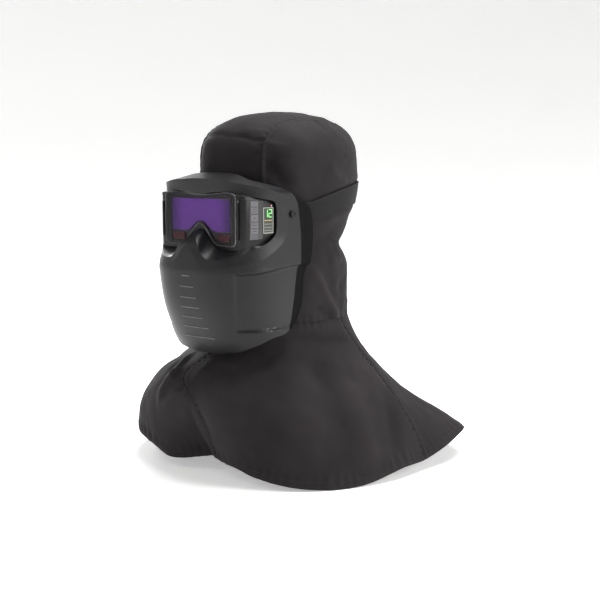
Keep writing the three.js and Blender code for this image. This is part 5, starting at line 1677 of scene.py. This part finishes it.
    def build(self) -> None:
        """Builds the shell with its ribs."""
        index = np.linspace(0, self.LAST, self.LAST * 8 + 1)
        left, right = self.half(index, 1.0), self.half(index, -1.0)
        sheet = Sheet(np.concatenate([left, right[:, ::-1][:, 1:]], axis=1), (0, -60, -190))
        shell = sheet.build("mask_shell", self.mould.wall, closed=True)
        round_edges(shell, 0.55, 2, math.radians(24))
        smooth(shell, 24.0)
        dress(shell, "mask_shell_moulding", self.finishes.nylon, ["mask_shell"])
        ribs = [self.rib(z, half) for z, half in self.RIBS]
        # The ribs are painted light grey, a painted highlight where their tops catch the light.
        dress(joined(ribs), "chin_ribs", self.finishes.nylon_painted_highlight)

    def rib(self, z: float, half: float) -> Piece:
        """Builds one moulded rib across the chin."""
        drop = (self.mould.top - z) / self.mould.height
        fan = np.linspace(-1, 1, 25)
        found = []
        for share in fan:
            target, low, high = abs(share) * half, 0.0, 0.6
            for _ in range(18):
                middle = (low + high) / 2
                if self.at(middle, drop)[0] < target:
                    low = middle
                else:
                    high = middle
            point = self.at(low, drop)
            found.append((math.copysign(point[0], share) if abs(share) > 1e-9 else 0.0, point[1], point[2]))
        return tube("rib", np.array(found) + np.array((0, -0.1, 0)), 0.75, 8)

    def rear_edge(self, index: np.ndarray) -> np.ndarray:
        """Returns points of the left rear edge, by the spokes' index."""
        around, drop = self.SPOKES.read("rim", index), self.SPOKES.read("rim_drop", index)
        point = self.at(around, drop) - self.normal(around, drop) * self.cheek_depth(around, drop)[:, None]
        point[:, 2] = self.height_of(drop)
        return point


@dataclass
class FlapMould:
    """Sizes of the soft flaps behind the shell, in millimetres.

    Attributes:
        thickness: of the flap.
        reach: how far it stands behind the shell.
        flare: how far its rear edge leans outwards.
        bead: radius of the bead along its edge.
    """

    thickness: float = 2.0
    reach: float = 20.0
    flare: float = 4.5
    bead: float = 1.1


@dataclass
class SideFlap:
    """A soft flap that closes the gap between the shell's rear edge and the hood."""

    mould: FlapMould
    shell: MaskShell
    finishes: Finishes

    REACH = Table(
        "drop reach",
        [
            (0.0, 0.45), (0.06, 0.9), (0.14, 1.0), (0.3, 0.93), (0.45, 0.8),
            (0.6, 0.6), (0.72, 0.66), (0.85, 0.6), (0.95, 0.35), (1.0, 0.14),
        ],
    )
    FIRST, LAST = 9.0, 16.0

    def at(self, u: np.ndarray, v: np.ndarray) -> np.ndarray:
        """Returns points of the left flap, u from the shell backwards and v downwards."""
        edge = self.shell.rear_edge(np.ravel(mix(self.FIRST, self.LAST, v))).reshape(*np.shape(v), 3)
        top, bottom = edge[0, 0, 2], edge[-1, 0, 2]
        share = (top - edge[..., 2]) / (top - bottom)
        back = self.mould.reach * self.REACH.read("reach", share) * u
        x = edge[..., 0] - self.shell.goggle.gap + self.mould.flare * back / self.mould.reach
        return points_of(x, edge[..., 1] + self.shell.goggle.gap + back, edge[..., 2])

    def build(self, side: float, name: str) -> None:
        """Builds the flap on one side, 1 for the wearer's left and -1 for the right."""
        points = spread(14, 90, self.at)
        flip = np.array([side, 1.0, 1.0])
        sheet = Sheet(points * flip, (0, float(points[..., 1].mean()), -200))
        sheet.lift -= 0.5 * smoothstep(0.75, 0.25, sheet.inset(Edge.LEFT) / self.mould.reach)
        flap = sheet.build(f"flap_{name}", self.mould.thickness)
        rim = np.concatenate([points[0], points[1:-1, -1], points[-1][::-1]]) * flip
        rim = rim - np.array([side * self.mould.thickness / 2, 0, 0])
        bead = tube(f"flap_bead_{name}", rim, self.mould.bead, 10)
        made = joined([flap, bead])
        node = f"side_flap_{name}"
        dress(made, f"{node}_seal", self.finishes.elastomer, [node])


@dataclass
class FastenerMould:
    """Sizes of the snap fastener at the temple, in millimetres.

    Attributes:
        radius: of its head.
        height: of its head.
        lip: width of the rim round its head.
        groove: width of the ring groove inside the rim.
        around: where it sits, as a share of the way round the shell.
        drop: its share of the shell's height.
    """

    radius: float = 4.4
    height: float = 2.2
    lip: float = 0.9
    groove: float = 1.1
    around: float = 0.915
    drop: float = 0.225


@dataclass
class TempleFastener:
    """A snap fastener that holds the shell to the goggle."""

    mould: FastenerMould
    shell: MaskShell
    finishes: Finishes

    def build(self, side: float, name: str) -> None:
        """Builds the fastener on one side."""
        mould = self.mould
        deselect_all()
        bpy.ops.mesh.primitive_cylinder_add(vertices=48, radius=mould.radius * MM, depth=mould.height * MM)
        stud = bpy.context.active_object
        steps = []
        for inset, lift in ((mould.lip, -0.8), (mould.groove, 0.7), (0.7, -0.5)):
            move = {"value": (0, 0, lift * MM)}
            steps.append(partial(bpy.ops.mesh.inset, thickness=inset * MM))
            steps.append(partial(bpy.ops.mesh.extrude_region_move, TRANSFORM_OT_translate=move))
        on_faces(stud, lambda face: face.normal.z > 0.9 and face.center.z > 0, *steps)
        round_edges(stud, 0.28, 2)
        seat = self.shell.at(side * mould.around, mould.drop)
        normal = self.shell.normal(side * mould.around, mould.drop)
        centre = Vector(seat) + Vector(normal) * (self.shell.goggle.gap + mould.height / 2)
        turn = Vector((0, 0, 1)).rotation_difference(Vector(normal)).to_matrix().to_4x4()
        put(stud, Matrix.Translation(centre) @ turn)
        smooth(stud)
        dress(stud, f"temple_snap_{name}", self.finishes.abs, [f"temple_fastener_{name}"])


@dataclass
class StrapCut:
    """Sizes of the head strap, in millimetres and degrees.

    Attributes:
        width: of the webbing.
        thickness: of the webbing.
        clearance: between the strap and the hood.
        tuck: length that lies inside the goggle's side.
        meets: plan angle where it first lies on the hood.
        front_z: height of its middle where it leaves the goggle.
        back_z: height of its middle behind the head.
        rise: 1 makes it rise evenly, more makes it rise sooner.
    """

    width: float = 28.0
    thickness: float = 1.6
    clearance: float = 0.8
    tuck: float = 12.0
    meets: float = 66.0
    front_z: float = -129.0
    back_z: float = -104.1
    rise: float = 2.3


@dataclass
class HeadStrap:
    """The elastic webbing loop round the back of the hood."""

    cut: StrapCut
    head: HeadForm
    goggle: GoggleMould
    finishes: Finishes

    def at(self, u: np.ndarray, v: np.ndarray) -> np.ndarray:
        """Returns points of the strap's outer side, u round the head and v downwards."""
        cut = self.cut
        run = 14 * (1 - np.abs(2 * u - 1))
        start = math.radians(cut.meets)
        angle = mix(start, math.pi, np.clip((run - 2) / 12, 0, 1))
        share = (angle - start) / (math.pi - start)
        z = mix(cut.front_z, cut.back_z, 1 - (1 - share) ** cut.rise) + cut.width * (0.5 - v)
        point = self.head.section(angle, z)
        step = 0.01
        tangent = self.head.section(angle + step, z) - self.head.section(angle - step, z)
        normal = np.stack([-tangent[..., 1], tangent[..., 0], np.zeros(z.shape)], axis=-1)
        normal /= -np.linalg.norm(normal, axis=-1, keepdims=True)
        lifted = point + normal * (cut.clearance + cut.thickness)
        x = self.goggle.side_end[0] - 2.4 - self.goggle.gap
        y = self.goggle.side_end[1] - self.goggle.front + 1
        knee = points_of(x, y, z)
        tucked = points_of(x - 0.16 * cut.tuck, y - cut.tuck, z)
        first = self.head.section(np.full(z.shape, start), z)
        free = mix(knee, np.where((run < 2)[..., None], lifted, first), np.clip(run - 1, 0, 1)[..., None])
        near = mix(tucked, knee, np.clip(run, 0, 1)[..., None])
        half = np.where((run < 1)[..., None], near, np.where((run < 2)[..., None], free, lifted))
        return half * np.stack([np.where(u > 0.5, -1.0, 1.0), np.ones(u.shape), np.ones(u.shape)], axis=-1)

    def build(self) -> None:
        """Builds the webbing with its thicker selvedges."""
        sheet = Sheet(spread(220, 14, self.at), (0, 0, -118))
        for edge in (Edge.TOP, Edge.BOTTOM):
            sheet.welt(edge, 2.2, 0.25, 0.5)
        strap = sheet.build("strap", self.cut.thickness)
        dress(strap, "head_strap_webbing", self.finishes.webbing, ["head_strap"])
        sheet.flat_size()
        sheet.area()


@dataclass
class PanelMould:
    """Sizes of the control panel on the goggle's left side, in millimetres.

    Attributes:
        start: its front end, as a distance along the goggle's path.
        top: height of its upper edge at the front end.
        bottom: height of its lower edge there.
        face: height of its face above the goggle.
        key_start: front end of the keys, from the panel's front end.
        key_width: of the keys.
        display_start: front end of the display window.
        display_width: of the display window.
        rise: how far keys and window stand above the face.
    """

    start: float = 70.0
    top: float = -108.0
    bottom: float = -162.0
    face: float = 2.6
    key_start: float = 11.0
    key_width: float = 12.0
    display_start: float = 31.0
    display_width: float = 15.5
    rise: float = 0.9


@dataclass
class Goggle:
    """The auto-darkening goggle with its cover lens, filter and solar cells."""

    mould: GoggleMould
    finishes: Finishes

    def build(self) -> None:
        """Builds the housing, the cover lens and the lens's clamping bars."""
        housing = rounded_copy("goggle_frame", 0.5)
        dress(housing, "goggle_housing", self.finishes.abs, ["goggle_frame"])
        cover = rounded_copy("cover_lens", 0.6)
        dress(cover, "cover_lens_clear", self.finishes.polycarbonate, ["cover_lens"])
        # The lens's side faces take the pale painted highlight.
        cover.data.materials.append(self.finishes.lens_edge_painted_highlight)
        for face in cover.data.polygons:
            if abs(face.normal.y) < 0.9:
                face.material_index = 1
        self.clamps()

    def clamps(self) -> None:
        """Builds the lens's two black clamping bars, beside its ends."""
        mould = self.mould
        size = Vector((3.0, 2.0, mould.height - 24)) * MM
        bars = []
        for side in (1.0, -1.0):
            deselect_all()
            bpy.ops.mesh.primitive_cube_add(size=1.0)
            bar = bpy.context.active_object
            middle = Vector((side * 66.2, -mould.front - 1.1, mould.top - mould.height / 2 + 2))
            put(bar, Matrix.Translation(middle) @ Matrix.Diagonal((*size, 1)))
            bars.append(bar)
        bar = joined(bars)
        round_edges(bar, 0.6)
        smooth(bar)
        dress(bar, "lens_clamps", self.finishes.abs)


def rounded_copy(node: str, width: float) -> Piece:
    """Copies a CAD node as a piece of its own with rounded edges.

    Args:
        node: the node.
        width: of the rounding, in millimetres.

    Returns:
        The copy.
    """
    thing = bpy.data.objects[node].copy()
    thing.data = thing.data.copy()
    bpy.context.scene.collection.objects.link(thing)
    for key in [key for key in thing.keys() if key.startswith("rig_")]:
        del thing[key]
    in_edit(
        thing,
        lambda: bpy.ops.mesh.remove_doubles(threshold=0.005 * MM),
        lambda: bpy.ops.mesh.dissolve_limited(angle_limit=math.radians(1.5)),
    )
    round_edges(thing, width, angle=math.radians(32))
    smooth(thing, 34.0)
    return thing


@dataclass
class ControlPanel:
    """The panel on the goggle's left side: keys, a display with lit digits, and a lamp."""

    mould: PanelMould
    goggle: GoggleMould
    finishes: Finishes

    # Tops and bottoms of the keys, as shares of the panel's height.
    KEYS = ((0.07, 0.175), (0.2, 0.335), (0.365, 0.52), (0.555, 0.665), (0.695, 0.8))
    # The marks on the keys: left and right from a key's middle, top and bottom as shares.
    MARKS = (
        (-3.0, 3.0, 0.232, 0.242),
        (-3.0, 3.0, 0.292, 0.302),
        (-3.0, -2.4, 0.232, 0.302),
        (2.4, 3.0, 0.232, 0.302),
        (-1.0, 1.0, 0.425, 0.46),
        (-3.4, 3.4, 0.6, 0.615),
        (-3.4, 3.4, 0.74, 0.755),
        (-0.4, 0.4, 0.105, 0.14),
    )
    # The strokes of a seven-segment digit, as left, right, top and bottom shares of its box.
    STROKES = {
        "a": (0.1, 0.9, 0.0, 0.1),
        "b": (0.82, 1.0, 0.06, 0.48),
        "c": (0.82, 1.0, 0.52, 0.94),
        "d": (0.1, 0.9, 0.9, 1.0),
        "e": (0.0, 0.18, 0.52, 0.94),
        "f": (0.0, 0.18, 0.06, 0.48),
        "g": (0.1, 0.9, 0.45, 0.55),
    }
    DIGITS = {"1": "bc", "2": "abged"}

    def tile(
        self,
        name: str,
        along: tuple[float, float],
        down: tuple[float, float],
        height: float,
        thickness: float,
        rounding: float = 0.0,
        columns: int = 6,
    ) -> Piece:
        """Builds a tile that follows the goggle's side.

        Args:
            name: the tile's name.
            along: its ends, from the panel's front end.
            down: its top and bottom, as shares of the panel's height.
            height: of its face above the goggle.
            thickness: of the tile, downwards.
            rounding: of its edges.
            columns: faces along it.

        Returns:
            The tile.
        """
        mould = self.mould
        tall = mould.top - mould.bottom

        def place(u: np.ndarray, v: np.ndarray) -> np.ndarray:
            """Returns the tile's points for shares along and down."""
            z = mould.top - tall * mix(down[0], down[1], v)
            return self.goggle.at(mould.start + mix(along[0], along[1], u), z, height)

        sheet = Sheet(spread(columns, 2, place), (0, -100, -135))
        piece = sheet.build(name, thickness)
        if rounding:
            round_edges(piece, rounding)
            smooth(piece, 40.0)
        return piece

    def build(self) -> None:
        """Builds the panel's body, its keys, display and prints."""
        mould, made = self.mould, self.finishes
        body = rounded_copy("control_panel", 0.7)
        dress(body, "panel_body", made.abs, ["control_panel"])
        ends = (mould.key_start - 1.2, mould.key_start + mould.key_width + 1.2)
        mat = self.tile("key_mat", ends, (0.045, 0.94), mould.face + 0.1, 0.5, 0.2)
        # The ridge's light grey is a painted highlight along the edge beside the display.
        ridge = self.tile("panel_ridge_painted_highlight", (29.2, 30.1), (0.06, 0.9), mould.face + 0.45, 0.7, 0.3)
        groove = self.tile("panel_groove", (24.6, 29.2), (0.05, 0.93), mould.face + 0.15, 0.5, 0.15)
        dress(mat, "key_mat", made.mat)
        dress(groove, "panel_groove", made.display)
        dress(ridge, "panel_ridge_painted_highlight", made.mat)
        for number, (top, bottom) in enumerate(self.KEYS, 1):
            ends = (mould.key_start, mould.key_start + mould.key_width)
            face = mould.face + mould.rise
            key = self.tile(f"key_{number}_cap", ends, (top, bottom), face, mould.rise, 0.5)
            dress(key, f"key_{number}_cap", made.silicone, [f"key_{number}"])
        self.icons()
        self.display()

    def icons(self) -> None:
        """Prints plain marks on the keys: a square, and two bars."""
        mould, face = self.mould, self.mould.face + self.mould.rise + 0.04
        middle = mould.key_start + mould.key_width / 2
        marks = [
            self.tile("mark", (middle + left, middle + right), (top, bottom), face, 0.1)
            for left, right, top, bottom in self.MARKS
        ]
        dress(joined(marks), "key_marks", self.finishes.print_black)

    def display(self) -> None:
        """Builds the display window with its frame, digits and dashes."""
        mould, made = self.mould, self.finishes
        start, end = mould.display_start, mould.display_start + mould.display_width
        face = mould.face + mould.rise
        window = self.tile("display_pane", (start, end), (0.215, 0.8), face, mould.rise, 0.3)
        dress(window, "display_pane", made.display, ["display"])
        bars = (
            ((start - 0.2, end + 0.2), (0.208, 0.226)),
            ((start - 0.2, end + 0.2), (0.79, 0.808)),
            ((start - 0.2, start + 0.7), (0.208, 0.808)),
            ((end - 0.7, end + 0.2), (0.208, 0.808)),
        )
        frame = [self.tile("bar", along, down, face + 0.3, 0.9, 0.25) for along, down in bars]
        dress(joined(frame), "display_frame", made.print_grey)
        strokes = []
        for place, digit in enumerate("12"):
            left = start + 1.3 + 6.9 * place
            for stroke in self.DIGITS[digit]:
                a, b, c, d = self.STROKES[stroke]
                ends = (left + 5.6 * a, left + 5.6 * b)
                down = (0.25 + 0.19 * c, 0.25 + 0.19 * d)
                strokes.append(self.tile("stroke", ends, down, face + 0.12, 0.2))
        dress(joined(strokes), "display_digits", made.segment)
        amber = self.dashes(0.5, 0.516)
        dress(joined(amber), "display_dashes_amber", made.segment_amber)
        dashes = [dash for top in (0.585, 0.66, 0.73) for dash in self.dashes(top, top + 0.014)]
        dress(joined(dashes), "display_dashes_grey", made.print_grey)

    def dashes(self, top: float, bottom: float) -> list[Piece]:
        """Returns a row of four dashes in the display, between two shares of the panel's height."""
        start, face = self.mould.display_start + 2, self.mould.face + self.mould.rise + 0.1
        lefts = [start + 3 * i for i in range(4)]
        return [self.tile("dash", (left, left + 1.8), (top, bottom), face, 0.2) for left in lefts]


@dataclass
class Studio:
    """The pale floor, the soft lights and the camera, in metres.

    Attributes:
        lowest: height of the part's lowest point.
        radius: of the floor's flat part.
        step: length of each ring of faces where it curves up.
        turn: how much steeper each ring is than the last, in degrees.
        rings: number of those rings.
    """

    lowest: float
    radius: float = 1.6
    step: float = 0.32
    turn: float = 6.5
    rings: int = 12

    # Each light's place, size and power. They all face the middle of the part.
    LIGHTS = {
        "key": ((-0.7, -1.6, 1.5), 1.4, 9),
        "top": ((0.1, 0.35, 1.4), 1.1, 50),
        "right_back": ((1.9, 0.9, 0.5), 0.9, 26),
        "left_back": ((-1.7, 0.7, 0.3), 0.7, 18),
    }

    def build(self) -> None:
        """Builds the floor, the lights and the camera."""
        bpy.context.scene.view_settings.view_transform = "Standard"
        self.floor()
        self.camera()
        for name, (place, size, power_of) in self.LIGHTS.items():
            self.light(name, place, Vector((0, -0.06, -0.22)), size, power_of)
        world = bpy.data.worlds.new("studio")
        bpy.context.scene.world = world
        world.use_nodes = True
        wire(world.node_tree.nodes["Background"], {"Color": "#ffffff", "Strength": 0.12})

    def floor(self) -> None:
        """Builds the floor as one sheet that curves up all round, far from the part."""
        centre = (0, 0, self.lowest)
        deselect_all()
        bpy.ops.mesh.primitive_circle_add(
            vertices=96, radius=self.radius, fill_type="NGON", location=centre
        )
        floor = bpy.context.active_object
        floor.name = "floor"
        bpy.ops.object.transform_apply(location=True)
        bpy.ops.object.mode_set(mode="EDIT")
        bpy.ops.mesh.select_mode(type="EDGE")
        bpy.ops.mesh.select_all(action="SELECT")
        radius = self.radius
        for ring in range(1, self.rings + 1):
            turn = math.radians(self.turn * ring)
            wider = radius + self.step * math.cos(turn)
            rise = self.step * math.sin(turn)
            bpy.ops.mesh.extrude_edges_move(TRANSFORM_OT_translate={"value": (0, 0, rise)})
            share = wider / radius
            bpy.ops.transform.resize(value=(share, share, 1), center_override=centre)
            radius = wider
        bpy.ops.object.mode_set(mode="OBJECT")
        smooth(floor, 30.0)
        # Matt paper, lit from within a little, as a photographer's white ground looks.
        sockets = {
            "Roughness": 0.95,
            "Specular IOR Level": 0.1,
            "Emission Color": "#ffffff",
            "Emission Strength": 0.36,
        }
        material, shader = surface("matt_paper_white", sockets)
        place = add_node(material, "ShaderNodeTexCoord").outputs["Object"]
        fibre = add_node(material, "ShaderNodeTexNoise", {"Vector": place, "Scale": 3.0, "Detail": 3.0})
        tones = {"Factor": fibre.outputs["Fac"], "A": "#f7f7f6", "B": "#fbfbfa"}
        colour = add_node(material, "ShaderNodeMix", tones, data_type="RGBA")
        wire(shader, {"Base Color": colour.outputs["Result"]})
        floor.data.materials.append(material)
        floor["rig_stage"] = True

    @staticmethod
    def light(name: str, place: Point, look: Vector, size: float, energy: float) -> None:
        """Adds a square soft light that faces a point."""
        data = bpy.data.lights.new(name, "AREA")
        data.energy = energy
        data.size = size
        lamp = bpy.data.objects.new(name, data)
        lamp.location = place
        lamp.rotation_euler = (look - Vector(place)).to_track_quat("-Z", "Y").to_euler()
        bpy.context.scene.collection.objects.link(lamp)

    @staticmethod
    def camera() -> None:
        """Adds the camera at the photograph's angle."""
        data = bpy.data.cameras.new("camera")
        data.lens = 67.8
        data.sensor_width = 36.0
        camera = bpy.data.objects.new("camera", data)
        camera.location = (1.0184, -1.1689, -0.045)
        camera.rotation_euler = (math.radians(82.3), 0, math.radians(40))
        bpy.context.scene.collection.objects.link(camera)
        bpy.context.scene.camera = camera


def dress_nodes(finishes: Finishes) -> None:
    """Gives the CAD nodes that stay in view their finishes."""
    kept = {
        "filter_glass": finishes.filter,
        "filter_cartridge": finishes.print_black,
        "solar_cell_left": finishes.solar,
        "solar_cell_right": finishes.solar,
    }
    for node, material in kept.items():
        thing = bpy.data.objects[node]
        thing.data.materials.clear()
        thing.data.materials.append(material)
    lamp = rounded_copy("status_light", 0.3)
    dress(lamp, "status_lamp", finishes.lamp, ["status_light"])
    sensor = rounded_copy("light_sensor", 0.35)
    dress(sensor, "light_sensor_dome", finishes.display, ["light_sensor"])


def main() -> None:
    logging.basicConfig(level=logging.INFO, format="%(message)s")
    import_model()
    cad_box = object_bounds()
    Studio(cad_box[0][2]).build()
    finishes = Finishes()
    head = HeadForm()
    goggle = GoggleMould()
    Hood(head, HoodCut(), finishes).build()
    Cape(head, CapeCut(), finishes).build()
    shell = MaskShell(ShellMould(), goggle, finishes)
    shell.build()
    for side, name in ((1.0, "left"), (-1.0, "right")):
        SideFlap(FlapMould(), shell, finishes).build(side, name)
        TempleFastener(FastenerMould(), shell, finishes).build(side, name)
    HeadStrap(StrapCut(), head, goggle, finishes).build()
    Goggle(goggle, finishes).build()
    ControlPanel(PanelMould(), goggle, finishes).build()
    dress_nodes(finishes)


if __name__ == "__main__":
    main()
